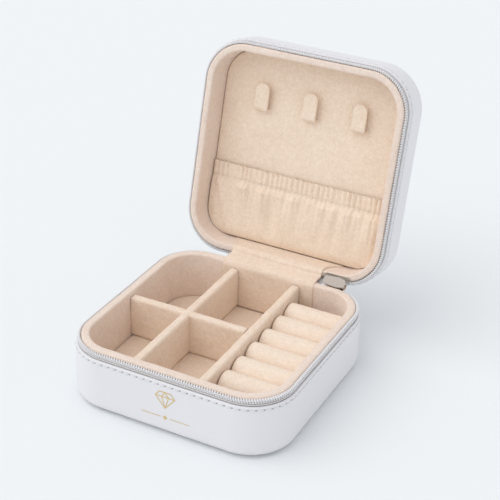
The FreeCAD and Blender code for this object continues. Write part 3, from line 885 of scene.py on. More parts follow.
@dataclass
class LeatherShell(Maker):
    """What the two leather shells share: their fold, their lip zone and their stitch row."""

    leather: float = 0.6 * MM
    fold: float = 0.85 * MM
    leg: float = 6.0 * MM
    leg_thick: float = 0.4 * MM
    turn_in: float = 1.0 * MM
    zone: float = 2.7 * MM
    step: float = 0.42 * MM
    back_gap: float = 25.0 * MM
    row: StitchRow = StitchRow()

    def lip_leg(self, lip: float, away: float) -> List[Point2]:
        """Section of the leather's hidden leg behind the folded lip.

        Args:
            lip: height of the lip.
            away: the direction from the lip towards the shell's flat face, up or down.

        Returns:
            The points, from the leg's foot to the wall.
        """
        inner = 2 * self.fold - self.leg_thick
        foot, bend = lip + away * self.leg, lip + away * self.turn_in
        return [(2 * self.fold, foot), (inner, foot), (inner, bend), (self.leather, bend)]

    def sew(
        self,
        half: str,
        holes: Sequence[float],
        height: float,
        slope: float,
        body: Body,
        turn: Optional[Matrix] = None,
    ) -> None:
        """Adds the stitches and the dark dots of painted shade in the needle holes.

        Args:
            half: base or lid.
            holes: runs of the needle holes.
            height: height of the row.
            slope: which way the stitches slant, 1 or -1.
            body: the body that they ride on.
            turn: the turn to their place at rest.
        """
        sewn = self.row.sew(self.case.outline, holes, height, slope)
        self.finish(sewn, f"{half}_stitches", self.palette.thread, Slot.LEATHER, turn=turn, body=body)
        # The needle holes get dark dots of painted shade.
        shade_dots = self.row.punch(self.case.outline, holes, height)
        self.finish(shade_dots, f"{half}_painted_hole_shade", self.palette.hole, Slot.LEATHER, turn=turn, body=body)


@dataclass
class BaseShell(LeatherShell):
    """Leather wrap, bottom panel, stitches, boards and emblem of the base."""

    bottom_round: float = 3.2 * MM
    under: float = 5.6 * MM

    def profile(self) -> List[Point2]:
        """Section of the leather wrap.

        Returns:
            The section's points.
        """
        lip, low, r = self.case.lip, self.case.wrap_bottom, self.bottom_round
        stitch_zone = lip - self.zone
        outer = [(self.under, low), (self.under * 0.7, low)]
        outer += arc((r, low + r), r, 270, 180, 8)
        outer += line((0, low + r), (0, stitch_zone), 9) + [(0.0, stitch_zone)]
        outer += line((0, stitch_zone), (0, lip - self.fold), 7)
        outer += arc((self.fold, lip - self.fold), self.fold, 180, 0, 10)
        inner = self.lip_leg(lip, -1.0)
        inner += arc((r, low + r), r - self.leather, 180, 270, 5) + [(self.under, low + self.leather)]
        return outer + inner

    def build(self) -> None:
        """Makes the base's outside."""
        case, row = self.case, self.row
        holes = row.holes(case.outline, self.back_gap)
        height = case.lip - row.drop
        bm = bmesh.new()
        case.outline.sweep(bm, self.profile(), self.step)
        row.press(bm, case.outline, holes, height)
        ripple(bm, 0.05 * MM, 22 * MM, 3.0)
        self.finish(bm, "base_leather", self.palette.leather, Slot.LEATHER, ["base_leather_wrap"], body=Body.BASE)
        self.sew("base", holes, height, 1.0, Body.BASE)
        self.bottom()
        self.dress(["base_side_board", "base_bottom_board"], self.palette.board, Slot.BOARD)
        self.dress(["base_rim_core"], self.palette.foam, Slot.FOAM)
        self.dress(["front_emblem"], self.palette.foil, Slot.FOIL)

    def bottom(self) -> None:
        """Makes the flat leather panel that the case rests on."""
        low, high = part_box("base_bottom_panel")
        edge = self.case.outline.half - high.x
        thick = high.z - low.z
        r = thick * 0.45
        profile = [(FLAT, high.z), (edge, high.z)] + arc((edge + r, low.z + r), r, 180, 270, 5)
        profile += [(edge + 3 * MM, low.z), (FLAT, low.z)]
        bm = bmesh.new()
        self.case.outline.sweep(bm, profile, 1.6 * MM, closed=False)
        close_holes(bm)
        self.finish(bm, "bottom_panel", self.palette.panel, Slot.LEATHER, ["base_bottom_panel"], body=Body.BASE)


def close_holes(bm: bmesh.types.BMesh) -> None:
    """Fills the flat middles that a sweep leaves open.

    Args:
        bm: the mesh.
    """
    edges = [edge for edge in bm.edges if edge.is_boundary]
    bmesh.ops.edgeloop_fill(bm, edges=edges)
    bmesh.ops.recalc_face_normals(bm, faces=bm.faces[:])


@dataclass
class Zip(Maker):
    """Tapes, coil teeth and the fine cord beside the lip, on the base and on the lid."""

    pitch: float = 1.15 * MM
    wire: float = 0.30 * MM
    loop: float = 0.45 * MM
    tall: float = 1.6
    coil_drop: float = 1.32 * MM
    coil_inset: float = 1.5 * MM
    coil_gap: float = 24.0 * MM
    slider_end: float = 36.4 * MM
    tape_thick: float = 0.4 * MM
    core: float = 0.3 * MM
    piping: float = 0.30 * MM
    piping_lift: float = 0.1 * MM
    step: float = 1.6 * MM
    turned: float = 0.94
    turn_steps: int = 8
    slider_level: float = 28.1 * MM
    slider_reach: float = 2.75 * MM
    dip_margin: float = 2.4 * MM

    def build(self) -> None:
        """Makes both halves of the zip."""
        case = self.case
        self.half("base", case.crest, -1.0, case.lip, Body.BASE, None)
        self.half("lid", case.lid_crest, 1.0, case.lid_lip, Body.LID, case.opening())

    def half(self, name: str, crest: float, away: float, lip: float, body: Body, turn: Optional[Matrix]) -> None:
        """Makes one half.

        Args:
            name: base or lid.
            crest: height of the velvet rim beside the coil.
            away: the direction from the rim towards the tape's hidden edge, up or down.
            lip: height of the leather's folded lip.
            body: the body that it rides on.
            turn: the turn to its place at rest.
        """
        palette = self.palette
        node_low, node_high = self.case.shut_box(f"{name}_zip_tape", 1.0 if body is Body.LID else 0.0)
        edge, far = (node_high.z, node_low.z) if away < 0 else (node_low.z, node_high.z)
        inset = self.case.outline.half - node_high.x
        inner = inset + self.tape_thick
        profile = [(inset, edge)] + line((inset, edge), (inset, far), 8)
        profile += [(inset, far), (inner, far), (inner, edge)]
        tape = self.ring(profile, self.coil_gap)
        self.dip(tape, away)
        self.finish(tape, f"{name}_tape", palette.tape, Slot.TAPE, [f"{name}_zip_tape"], turn, body)
        level = crest + away * self.coil_drop
        self.finish(self.coil(level), f"{name}_coil", palette.coil, Slot.COIL, [f"{name}_zip_coil"], turn, body)
        core = self.ring(arc((self.coil_inset, level), self.core, 0, 315, 7), self.slider_end)
        self.finish(core, f"{name}_coil_cord", palette.thread, Slot.COIL, turn=turn, body=body)
        spot = (inset - self.piping, lip - away * (self.piping + self.piping_lift))
        cord = self.ring(arc(spot, self.piping, 0, 324, 9), self.coil_gap)
        self.finish(cord, f"{name}_lip_piping", palette.tape, Slot.TAPE, turn=turn, body=body)

    def ring(self, profile: Sequence[Point2], end: float) -> bmesh.types.BMesh:
        """Sweeps a section round three sides.

        Args:
            profile: the section's points.
            end: how far it stops from the middle of the back, on the slider's side.

        Returns:
            The mesh, with its UV map.
        """
        bm = bmesh.new()
        self.case.outline.sweep(bm, profile, self.step)
        self.case.outline.lay_map(bm)
        self.open_back(bm, self.coil_gap, end)
        return bm

    def dip(self, bm: bmesh.types.BMesh, away: float) -> None:
        """Lowers a tape's edge beside the slider, so that the slider's plates clear it as they turn.

        Args:
            bm: the tape.
            away: the direction from the rim towards the tape's hidden edge.
        """
        low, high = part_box("zip_slider")
        limit = self.slider_level + away * self.slider_reach
        for vert in bm.verts:
            beside = low.x - self.dip_margin < vert.co.x < high.x + self.dip_margin and vert.co.y > 0
            if beside and (limit - vert.co.z) * away > 0:
                vert.co.z = limit

    def open_back(self, bm: bmesh.types.BMesh, left: float, right: float) -> None:
        """Cuts a stretch out of the back of a ring and closes its ends.

        Args:
            bm: the ring.
            left: how far the cut goes left of the middle.
            right: how far it goes right of it.
        """
        for place, side in ((-left, -1.0), (right, 1.0)):
            back = [face for face in bm.faces if face.calc_center_median().y > 0]
            geom = back + list({edge for face in back for edge in face.edges})
            geom += list({vert for face in back for vert in face.verts})
            bmesh.ops.bisect_plane(bm, geom=geom, plane_co=(place, 0, 0), plane_no=(side, 0, 0))
        back = [face for face in bm.faces if face.calc_center_median().y > 0]
        gone = [face for face in back if -left < face.calc_center_median().x < right]
        bmesh.ops.delete(bm, geom=gone, context="FACES")
        close_holes(bm)

    def coil(self, height: float) -> bmesh.types.BMesh:
        """Sets turns of nylon coil side by side.

        Args:
            height: height of the coil's middle.

        Returns:
            The mesh.
        """
        outline = self.case.outline
        whole = 4 * outline.quarter - self.coil_gap - self.slider_end
        count = int(whole / self.pitch)
        one = bmesh.new()
        ring = bmesh.ops.create_circle(one, segments=6, radius=self.wire, cap_ends=False)["verts"]
        bmesh.ops.translate(one, verts=ring, vec=Vector((0, self.loop, 0)))
        dvec = Vector((self.pitch * self.turned / self.turn_steps, 0, 0))
        edges = list({edge for vert in ring for edge in vert.link_edges})
        bmesh.ops.spin(
            one, geom=list(ring) + edges, cent=(0, 0, 0), axis=(1, 0, 0), dvec=dvec, angle=math.tau * self.turned,
            steps=self.turn_steps,
        )
        close_holes(one)
        bmesh.ops.scale(one, verts=one.verts[:], vec=(1.0, 1.0, self.tall))
        turn_mesh = bpy.data.meshes.new("coil_turn")
        one.to_mesh(turn_mesh)
        one.free()
        bm = bmesh.new()
        for index in range(count):
            place = outline.frame(self.slider_end + whole * index / count, self.coil_inset, height)
            turn_mesh.transform(place)
            bm.from_mesh(turn_mesh)
            turn_mesh.transform(place.inverted())
        bpy.data.meshes.remove(turn_mesh)
        return bm


@dataclass
class VelvetTray(Maker):
    """Velvet rims, walls and floor of the base."""

    outer: float = 2.35 * MM
    thick: float = 0.8 * MM
    edge: float = 0.95 * MM
    skirt: float = 8.0 * MM
    step: float = 0.9 * MM
    pad_step: float = 1.2 * MM
    floor_round: float = 1.1 * MM
    bed_round: float = 0.8 * MM
    bed_wall: float = 6.5 * MM
    tuck: float = 46.45 * MM
    tuck_margin: float = 2.2 * MM

    def section(self, crest: float, foot: float, wall: float) -> List[Point2]:
        """Section of a rim: velvet folded over a padded edge and down the inner wall.

        Args:
            crest: height of the rim's top.
            foot: height of the wall's foot.
            wall: inset of the wall's face.

        Returns:
            The section's points.
        """
        outer, edge, under, hem = self.outer, self.edge, crest - 2 * self.edge, crest - self.skirt
        points = [(outer, hem)] + line((outer, hem), (outer, crest - edge), 5)
        points += arc((outer + edge, crest - edge), edge, 180, 90, 6)
        points += line((outer + edge, crest), (wall - edge, crest), 4)
        points += arc((wall - edge, crest - edge), edge, 90, 0, 6)
        points += line((wall, crest - edge), (wall, foot), 20) + [(wall, foot)]
        points += [(wall - self.thick, foot), (wall - self.thick, under)]
        return points + [(outer + self.thick, under), (outer + self.thick, hem)]

    def soften(self, bm: bmesh.types.BMesh, seed: float) -> None:
        """Gives a rim the unevenness of hand-laid velvet, fine and broad, from a seed."""
        ripple(bm, 0.10 * MM, 4.5 * MM, seed)
        ripple(bm, 0.12 * MM, 16 * MM, seed + 1.0)

    def plate(self, profile: Sequence[Point2]) -> bmesh.types.BMesh:
        """Sweeps a padded plate's section round the case and closes its middle.

        Args:
            profile: the section's points.

        Returns:
            The mesh.
        """
        bm = bmesh.new()
        self.case.outline.sweep(bm, profile, self.pad_step, closed=False)
        close_holes(bm)
        return bm

    def relieve(self, bm: bmesh.types.BMesh) -> None:
        """Tucks the rim's outer side in behind the parked slider's inner plate.

        Args:
            bm: the rim.
        """
        low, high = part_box("zip_slider")
        for vert in bm.verts:
            reach = min(vert.co.x - (low.x - self.tuck_margin), (high.x + self.tuck_margin) - vert.co.x)
            if reach > 0 and vert.co.y > self.tuck:
                share = min(reach / (2 * MM), 1.0)
                vert.co.y += (self.tuck - vert.co.y) * share * 0.96

    def build(self) -> None:
        """Makes the base's rim, floor and ring bed."""
        case, palette = self.case, self.palette
        bm = bmesh.new()
        case.outline.sweep(bm, self.section(case.crest, case.floor - 3.2 * MM, BASE_WALL), self.step)
        self.soften(bm, 1.0)
        self.relieve(bm)
        self.finish(bm, "base_rim_velvet", palette.rim_velvet, Slot.VELVET, ["base_velvet_lining"], body=Body.BASE)
        foot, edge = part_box("base_floor_pad")[0].z, case.floor_inset + 0.05 * MM
        bm = self.plate(pad_section(edge, foot, case.floor, self.floor_round, 0.05 * MM))
        floor = self.finish(bm, "floor_pad", palette.velvet, Slot.VELVET, ["base_floor_pad"], body=Body.BASE)
        bed = soft_box(*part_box("ring_bed"), self.bed_round, (1.5 * MM,) * 3)
        for vert in bed.verts:
            vert.co.x = min(vert.co.x, case.outline.reach(vert.co.y, self.bed_wall))
        ripple(bed, 0.1 * MM, 5 * MM, 9.0)
        piece = self.finish(bed, "ring_bed_cover", palette.velvet, Slot.FOAM, ["ring_bed"], body=Body.BASE)


def soft_box(
    low: Vector, high: Vector, radius: float, pitch: Tuple[float, float, float], square: int = -1
) -> bmesh.types.BMesh:
    """A block with rounded edges and a fine grid.

    Args:
        low: its lowest corner.
        high: its highest corner.
        radius: the rounding of its edges.
        pitch: the grid's spacing along each axis.
        square: an axis along which the ends stay square, or -1.

    Returns:
        The mesh.
    """
    bm = bmesh.new()
    size = high - low
    place = Matrix.Translation((low + high) / 2) @ Matrix.Diagonal((*size, 1.0))
    bmesh.ops.create_cube(bm, size=1.0, matrix=place)
    for axis in range(3):
        edges = [e for e in bm.edges if abs(e.verts[0].co[axis] - e.verts[1].co[axis]) > size[axis] * 0.5]
        cuts = max(int(size[axis] / pitch[axis]) - 1, 1)
        bmesh.ops.subdivide_edges(bm, edges=edges, cuts=cuts, use_grid_fill=True)
    inset = Vector(0.0 if axis == square else radius for axis in range(3))
    core_low, core_high = low + inset, high - inset
    for vert in bm.verts:
        core = Vector(min(max(vert.co[i], core_low[i]), core_high[i]) for i in range(3))
        away = vert.co - core
        if away.length > 1e-9:
            vert.co = core + away.normalized() * radius
    bmesh.ops.recalc_face_normals(bm, faces=bm.faces[:])
    return bm


@dataclass
class Dividers(Maker):
    """Padded velvet dividers: a crossed pair that lifts out, and the fixed one beside the rolls."""

    radius: float = 1.15 * MM

    def panel(self, node: str, name: str, body: Body, seed: float) -> None:
        """Makes one divider over its CAD node.

        Args:
            node: the CAD node.
            name: the piece's name.
            body: the body that it rides on.
            seed: where its unevenness starts.
        """
        low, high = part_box(node)
        fine = tuple(0.42 * MM if size < 5 * MM else 0.8 * MM for size in high - low)
        run = 0 if high.x - low.x > high.y - low.y else 1
        bm = soft_box(low, high, self.radius, fine, run)
        ripple(bm, 0.16 * MM, 7 * MM, seed)
        ripple(bm, 0.08 * MM, 2.2 * MM, seed + 4)
        piece = self.finish(bm, name, self.palette.velvet, Slot.VELVET, [node], body=body)

    def build(self) -> None:
        """Makes the three dividers."""
        self.panel("divider_long", "long_divider", Body.DIVIDERS, 5.0)
        self.panel("divider_cross", "cross_divider", Body.DIVIDERS, 11.0)
        self.panel("ring_partition", "ring_partition_cover", Body.BASE, 17.0)


@dataclass
class RingRolls(Maker):
    """Velvet-wrapped foam rolls that hold rings between them."""

    swell: float = 0.12 * MM
    end_round: float = 1.5 * MM
    wall: float = 6.4 * MM

    def roll(self, index: int) -> None:
        """Makes one roll over its CAD node.

        Args:
            index: its number, from the back.
        """
        node = f"ring_roll_{index}"
        low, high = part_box(node)
        radius = (high.z - low.z) / 2 + self.swell
        centre = (low + high) / 2
        if index == 1:
            centre.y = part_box("ring_roll_2")[0].y - radius + self.swell * 2
        bm = bmesh.new()
        place = Matrix.Translation(centre) @ Matrix.Rotation(QUARTER, 4, "Y")
        bmesh.ops.create_cone(
            bm, cap_ends=True, segments=56, radius1=radius, radius2=radius, depth=high.x - low.x, matrix=place
        )
        ends = [e for e in bm.edges if abs(e.verts[0].co.x - e.verts[1].co.x) < 1e-7]
        bmesh.ops.bevel(
            bm, geom=ends, offset=self.end_round, offset_type="OFFSET", affect="EDGES", segments=6, profile=0.5,
            material=-1,
        )
        long_edges = [e for e in bm.edges if abs(e.verts[0].co.x - e.verts[1].co.x) > 10 * MM]
        bmesh.ops.subdivide_edges(bm, edges=long_edges, cuts=36, use_grid_fill=True)
        for vert in bm.verts:
            vert.co.x = min(vert.co.x, self.case.outline.reach(vert.co.y, self.wall))
        ripple(bm, 0.22 * MM, 8 * MM, 20.0 + 3.1 * index)
        ripple(bm, 0.08 * MM, 2.0 * MM, 40.0 + 2.3 * index)
        bmesh.ops.recalc_face_normals(bm, faces=bm.faces[:])
        piece = self.finish(bm, f"roll_{index}", self.palette.roll_velvet, Slot.VELVET, [node], body=Body.BASE)

    def build(self) -> None:
        """Makes the six rolls."""
        for index in range(1, 7):
            self.roll(index)


@dataclass
class LidShell(LeatherShell):
    """Leather shell of the lid with its stitches, boards and foam."""

    top_round: float = 3.0 * MM
    step: float = 0.45 * MM

    def profile(self) -> List[Point2]:
        """Section of the shell, from the lip over the rounded edge to the flat top.

        Returns:
            The section's points.
        """
        lip, top, r, fold = self.case.lid_lip, self.case.lid_top, self.top_round, self.fold
        points = [(FLAT, top - self.leather), (r, top - self.leather)]
        points += arc((r, top - r), r - self.leather, 90, 180, 5)
        points += self.lip_leg(lip, 1.0)[::-1]
        points += arc((fold, lip + fold), fold, 0, -180, 10)
        points += line((0, lip + fold), (0, lip + self.zone), 7) + [(0, lip + self.zone)]
        points += line((0, lip + self.zone), (0, top - r), 7)
        points += arc((r, top - r), r, 180, 90, 8)
        return points + line((r, top), (FLAT, top), 6) + [(FLAT, top)]

    def build(self) -> None:
        """Makes the lid's outside."""
        case, row, palette = self.case, self.row, self.palette
        turn = case.opening()
        holes = row.holes(case.outline, self.back_gap)
        height = case.lid_lip + row.drop
        bm = bmesh.new()
        case.outline.sweep(bm, self.profile(), self.step, closed=False)
        row.press(bm, case.outline, holes, height)
        close_holes(bm)
        self.finish(bm, "lid_leather", palette.leather, Slot.LEATHER, ["lid_leather_wrap"], turn, Body.LID)
        self.sew("lid", holes, height, -1.0, Body.LID, turn)
        self.dress(["lid_side_board", "lid_top_board"], palette.board, Slot.BOARD)
        self.dress(["lid_top_foam", "lid_rim_core"], palette.foam, Slot.FOAM)


@dataclass
class LidInterior(VelvetTray):
    """Velvet rim, walls and padded back panel inside the lid."""

    sweep: float = 5.75 * MM
    ease: float = 2.0 * MM
    panel_round: float = 1.2 * MM

    def build(self) -> None:
        """Makes the lid's lining and its panel."""
        case, palette = self.case, self.palette
        turn = case.opening()
        depth = case.shut_box("lid_velvet_lining")[1].z
        mirrored = 2 * case.middle
        section = self.section(mirrored - case.lid_crest, mirrored - depth, LID_WALL)
        bm = bmesh.new()
        case.outline.sweep(bm, flipped(section, case.middle), self.step)
        self.soften(bm, 61.0)
        self.relieve_shut(bm)
        self.finish(bm, "lid_rim_velvet", palette.rim_velvet, Slot.VELVET, ["lid_velvet_lining"], turn, Body.LID)
        low, high = case.shut_box("lid_back_panel")
        edge = case.outline.half - high.x + 0.03 * MM
        upright = pad_section(edge, mirrored - high.z, mirrored - low.z, self.panel_round, 0.04 * MM)
        bm = self.plate(flipped(upright, case.middle))
        panel = self.finish(bm, "back_panel", palette.lid_velvet, Slot.VELVET, ["lid_back_panel"], turn, Body.LID)

    def relieve_shut(self, bm: bmesh.types.BMesh) -> None:
        """Tucks the lid's rim in, all round the hinge line, where the slider passes.

        Args:
            bm: the rim.
        """
        low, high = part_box("zip_slider")
        for vert in bm.verts:
            reach = min(vert.co.x - (low.x - self.ease), (high.x + self.ease) - vert.co.x)
            off = Vector((0, vert.co.y - self.case.hinge.y, vert.co.z - self.case.hinge.z))
            if reach > 0 and off.length < self.sweep:
                share = min(reach / self.ease, 1.0)
                vert.co += off.normalized() * (self.sweep - off.length) * share


def ribbon_mesh(
    path: Sequence[Vector],
    half: Callable[[int], Tuple[float, float]],
    columns: int,
    lift: Callable[[int, float], float] = lambda row, across: 0.0,
) -> bmesh.types.BMesh:
    """A strip of cloth across X along a path.

    Args:
        path: the strip's centre line in the Y-Z plane.
        half: the left and right reach at a point's index.
        columns: how many faces lie across the strip.
        lift: how far the cloth stands off the path, by the point's index and the place across.

    Returns:
        The mesh, with a UV map in metres.
    """
    bm = bmesh.new()
    rows = len(path) - 1
    bmesh.ops.create_grid(bm, x_segments=columns, y_segments=rows, size=1.0)
    uv = bm.loops.layers.uv.new("run")
    lengths = [0.0]
    for before, after in zip(path, path[1:]):
        lengths.append(lengths[-1] + (after - before).length)
    places = {}
    for vert in bm.verts:
        row = round((vert.co.y + 1) / 2 * rows)
        left, right = half(row)
        across = left + (right - left) * (vert.co.x + 1) / 2
        places[vert] = (row, across)
    for face in bm.faces:
        for loop in face.loops:
            row, across = places[loop.vert]
            loop[uv].uv = (across, lengths[row])
    for vert, (row, across) in places.items():
        ahead = path[min(row + 1, rows)] - path[max(row - 1, 0)]
        off = Vector((0, -ahead.z, ahead.y)).normalized() * lift(row, across)
        vert.co = path[row] + Vector((across, 0, 0)) + off
    return bm


def thicken(bm: bmesh.types.BMesh, thick: float, outside: Vector) -> None:
    """Turns a sheet's faces towards its outer side and gives it thickness.

    Args:
        bm: the sheet.
        thick: its thickness.
        outside: the direction that its middle faces.
    """
    bmesh.ops.recalc_face_normals(bm, faces=bm.faces[:])
    face = min(bm.faces, key=lambda f: abs(f.calc_center_median().x))
    if face.normal.dot(outside) < 0:
        bmesh.ops.reverse_faces(bm, faces=bm.faces[:])
    bm.normal_update()
    bmesh.ops.solidify(bm, geom=bm.faces[:], thickness=thick)
    bmesh.ops.recalc_face_normals(bm, faces=bm.faces[:])


def smooth_path(corners: Sequence[Vector], radius: Sequence[float], pitch: float) -> List[Vector]:
    """Rounds a path's corners and spaces its points evenly.

    Args:
        corners: the path's corners.
        radius: how far from each corner its rounding starts.
        pitch: the spacing.

    Returns:
        The points.
    """
    dense: List[Vector] = [corners[0]]
    for index in range(1, len(corners) - 1):
        corner = corners[index]
        back = (corners[index - 1] - corner).normalized()
        ahead = (corners[index + 1] - corner).normalized()
        reach = radius[index]
        start, end = corner + back * reach, corner + ahead * reach
        for step in range(13):
            t = step / 12
            dense.append(start * (1 - t) ** 2 + corner * 2 * t * (1 - t) + end * t * t)
    dense.append(corners[-1])
    lengths = [0.0]
    for before, after in zip(dense, dense[1:]):
        lengths.append(lengths[-1] + (after - before).length)
    count = max(int(lengths[-1] / pitch), 2)
    points, place = [], 0
    for index in range(count + 1):
        want = lengths[-1] * index / count
        while place < len(lengths) - 2 and lengths[place + 1] < want:
            place += 1
        span = max(lengths[place + 1] - lengths[place], 1e-9)
        points.append(dense[place].lerp(dense[place + 1], (want - lengths[place]) / span))
    return points


@dataclass
class Hinge(Maker):
    """Velvet band inside the hinge and the leather strap outside it; both bend as the lid moves."""

    band_half: float = 22.7 * MM
    flare: float = 27.4 * MM
    flare_from: float = 0.84
    band_thick: float = 0.7 * MM
    strap_half: float = 23.9 * MM
    strap_thick: float = 0.45 * MM
    strap_inset: float = 2.0 * MM
    tail: float = 8.0 * MM
    over: float = 0.45 * MM
    band_pitch: float = 0.55 * MM
    strap_pitch: float = 0.4 * MM
    bend_at: float = 0.62
    bend_spread: float = 0.16

    def lid_point(self, y: float, z: float) -> Vector:
        """A point of the shut lid, where it lies with the lid open."""
        return self.case.opening() @ Vector((0, y, z))

    def band(self) -> None:
        """Makes the velvet band from the base's back wall over both rims to the lid's panel."""
        case = self.case
        over = self.over
        wall = case.outline.half - BASE_WALL - over
        lid_wall = case.outline.half - LID_WALL - over
        corners = [
            Vector((0, wall, case.floor + 0.1 * MM)),
            Vector((0, wall, case.crest + over - 0.2 * MM)),
            Vector((0, wall + 4.6 * MM, case.crest + over + 0.3 * MM)),
            self.lid_point(lid_wall + 3.4 * MM, case.lid_crest - over - 0.2 * MM),
            self.lid_point(lid_wall, case.lid_crest - over + 0.2 * MM),
            self.lid_point(lid_wall, case.panel - 0.3 * MM),
        ]
        path = smooth_path(corners, [0, 2.3 * MM, 1.6 * MM, 1.6 * MM, 2.0 * MM, 0], self.band_pitch)
        rows = len(path) - 1

        def half(row: int) -> Tuple[float, float]:
            """Left and right reach of the band at a row.

            Args:
                row: the row.

            Returns:
                The two reaches.
            """
            share = row / rows
            extra = (self.flare - self.band_half) * max(0.0, (share - self.flare_from) / (1 - self.flare_from))
            return -self.band_half - extra, self.band_half + extra

        def lift(row: int, across: float) -> float:
            """Soft creases along the bend, and a slight bulge everywhere.

            Args:
                row: the row.
                across: the place across.

            Returns:
                The height over the path.
            """
            bend = math.exp(-((row / rows - self.bend_at) / self.bend_spread) ** 2)
            crease = noise.noise(Vector((across / (26 * MM), row * 0.42, 3.0))) * 0.75 * MM
            fine = noise.noise(Vector((across / (6 * MM), row * 0.5, 9.0))) * 0.2 * MM
            return bend * (crease + fine + 0.25 * MM)

        bm = ribbon_mesh(path, half, 70, lift)
        thicken(bm, self.band_thick, Vector((0, -1, 1)))
        piece = self.finish(bm, "hinge_band", self.palette.velvet, Slot.VELVET, ["hinge_velvet_band"])
        length = sum((b - a).length for a, b in zip(path, path[1:]))
        start = Vector((0, wall + 2.0 * MM, case.crest))
        end = self.lid_point(lid_wall + 1.6 * MM, case.lid_crest)
        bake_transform(piece, "base", "lid", start=start, end=end)

    def strap(self) -> None:
        """Makes the leather strap behind the rims."""
        case = self.case
        layer = case.outline.half - self.strap_inset
        corners = [
            Vector((0, layer, case.lip - self.tail)),
            Vector((0, layer, case.lip + 0.4 * MM)),
            Vector((0, case.hinge.y, case.hinge.z)),
            self.lid_point(layer, case.lid_lip - 0.4 * MM),
            self.lid_point(layer, case.lid_lip + self.tail),
        ]
        path = smooth_path(corners, [0, 0.7 * MM, 1.0 * MM, 0.7 * MM, 0], self.strap_pitch)
        bm = ribbon_mesh(path, lambda row: (-self.strap_half, self.strap_half), 60)
        for vert in bm.verts:
            vert.co.y += noise.noise(vert.co / (9 * MM)) * 0.12 * MM
        thicken(bm, self.strap_thick, Vector((0, 1, -1)))
        piece = self.finish(bm, "hinge_leather", self.palette.leather, Slot.LEATHER, ["hinge_strap"])
        start = Vector((0, layer, case.lip - 0.2 * MM))
        end = self.lid_point(layer, case.lid_lip + 0.2 * MM)
        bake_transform(piece, "base", "lid", start=start, end=end)

    def build(self) -> None:
        """Makes the band and the strap."""
        self.band()
        self.strap()


@dataclass
class Pocket(Maker):
    """Gathered velvet pocket across the lower half of the lid's panel."""

    casing: float = 6.8 * MM
    gathers: int = 34
    columns: int = 330
    rows: int = 84
    cloth: float = 0.45 * MM
    reach: float = 0.0
    fullness: float = 2.5
    stand: float = 1.75 * MM
    gather: float = 0.72 * MM
    near_fold: float = 1.6 * MM
    far_fold: float = 5.0 * MM
    belly: float = 2.3 * MM
    sink: float = 0.45 * MM
    stitch_pitch: float = 2.3 * MM

    def rise(self, x: float, down: float, depth: float) -> float:
        """How far the cloth stands off the panel.

        Args:
            x: the place across the pocket.
            down: the distance from the hem.
            depth: the pocket's whole depth.

        Returns:
            The height over the panel.
        """
        share = min(max(down / depth, 0.0), 1.0)
        phase = x / (self.reach * 2) * self.gathers * math.tau
        phase += 2.2 * noise.noise(Vector((x / (9 * MM), 0.0, 5.0)))
        casing = min(down / self.casing, 1.0)
        strength = 0.7 + 0.5 * noise.noise(Vector((x / (6 * MM), 1.0, 2.0)))
        crest = abs(math.sin(phase / 2)) ** 0.8 * 2 - 1.1
        hem = self.gather * crest * strength * (1.0 - 0.25 * casing)
        below = max(down - self.casing, 0.0)
        fan = math.exp(-below / (7.0 * MM))
        wide = x * (1.0 + 0.25 * share)
        soft = noise.noise(Vector((wide / (3.6 * MM), below / (20 * MM), 8.0)))
        softer = noise.noise(Vector((wide / (6.4 * MM), below / (30 * MM), 14.0)))
        folds = self.near_fold * soft * math.exp(-below / (9 * MM))
        folds += self.far_fold * softer * math.exp(-below / (19 * MM))
        blouse = self.belly * math.sin(math.pi * share ** 0.8) ** 0.7
        pinch = math.exp(-(((down - self.casing) / (0.75 * MM)) ** 2))
        tuck = min(1.0, below / (3.0 * MM)) if below > 0 else 0.0
        height = self.stand + hem * (fan if below > 0 else 1.0) * (1 - 0.55 * pinch)
        height += blouse * tuck * 0.75 + folds * tuck * (1.0 - share ** 3)
        height -= self.sink * pinch
        foot = min(1.0, (1.0 - share) / 0.10)
        side = min(1.0, max(0.0, (self.reach - abs(x)) / (4.5 * MM)))
        ease = (0.25 + 0.75 * foot ** 0.5) * (0.45 + 0.55 * side ** 0.6)
        return max(height * ease, 0.35 * MM)

    def build(self) -> None:
        """Makes the pocket and its stitches."""
        case, palette = self.case, self.palette
        turn = case.opening()
        low, high = case.shut_box("lid_pocket")
        top, foot, depth = low.y, high.y, high.y - low.y
        self.reach = high.x - 0.1 * MM
        bm = bmesh.new()
        bmesh.ops.create_grid(bm, x_segments=self.columns, y_segments=self.rows, size=1.0)
        uv = bm.loops.layers.uv.new("run")
        for face in bm.faces:
            for loop in face.loops:
                loop[uv].uv = ((loop.vert.co.x + 1) * self.reach, (loop.vert.co.y + 1) / 2 * depth)
        for vert in bm.verts:
            share = ((vert.co.y + 1) / 2) ** 1.25
            x = vert.co.x * self.reach
            down = share * depth
            wander = noise.noise(Vector((x / (1.7 * MM), 4.0, 1.0))) * 0.45 * MM
            y = top + down + wander * math.exp(-down / (1.2 * MM)) + 0.1 * MM
            wall = case.outline.reach(min(y, foot), 5.8 * MM)
            x = max(min(x, wall), -wall)
            vert.co = Vector((x, y, case.panel - self.rise(x, down, depth)))
        thicken(bm, self.cloth, Vector((0, 0, -1)))
        stood_for = ["lid_pocket", "pocket_elastic"]
        piece = self.finish(bm, "lid_pocket_cloth", palette.lid_velvet, Slot.VELVET, stood_for, turn, Body.LID)
        stitches = bmesh.new()
        count = int(2 * self.reach / self.stitch_pitch)
        for index in range(1, count):
            x = -self.reach + 2 * self.reach * index / count
            height = case.panel - self.rise(x, self.casing, depth) - self.cloth
            place = Matrix.Translation((x, top + self.casing + 0.15 * MM, height)) @ Matrix.Rotation(-QUARTER, 4, "X")
            lean = 0.25 * noise.noise(Vector((index * 0.9, 0, 0)))
            stitch(stitches, place, 1.6 * MM, 0.5 * MM, lean)
        thread = palette.cream_thread
        sewn = self.finish(stitches, "lid_pocket_stitches", thread, Slot.VELVET, turn=turn, body=Body.LID)


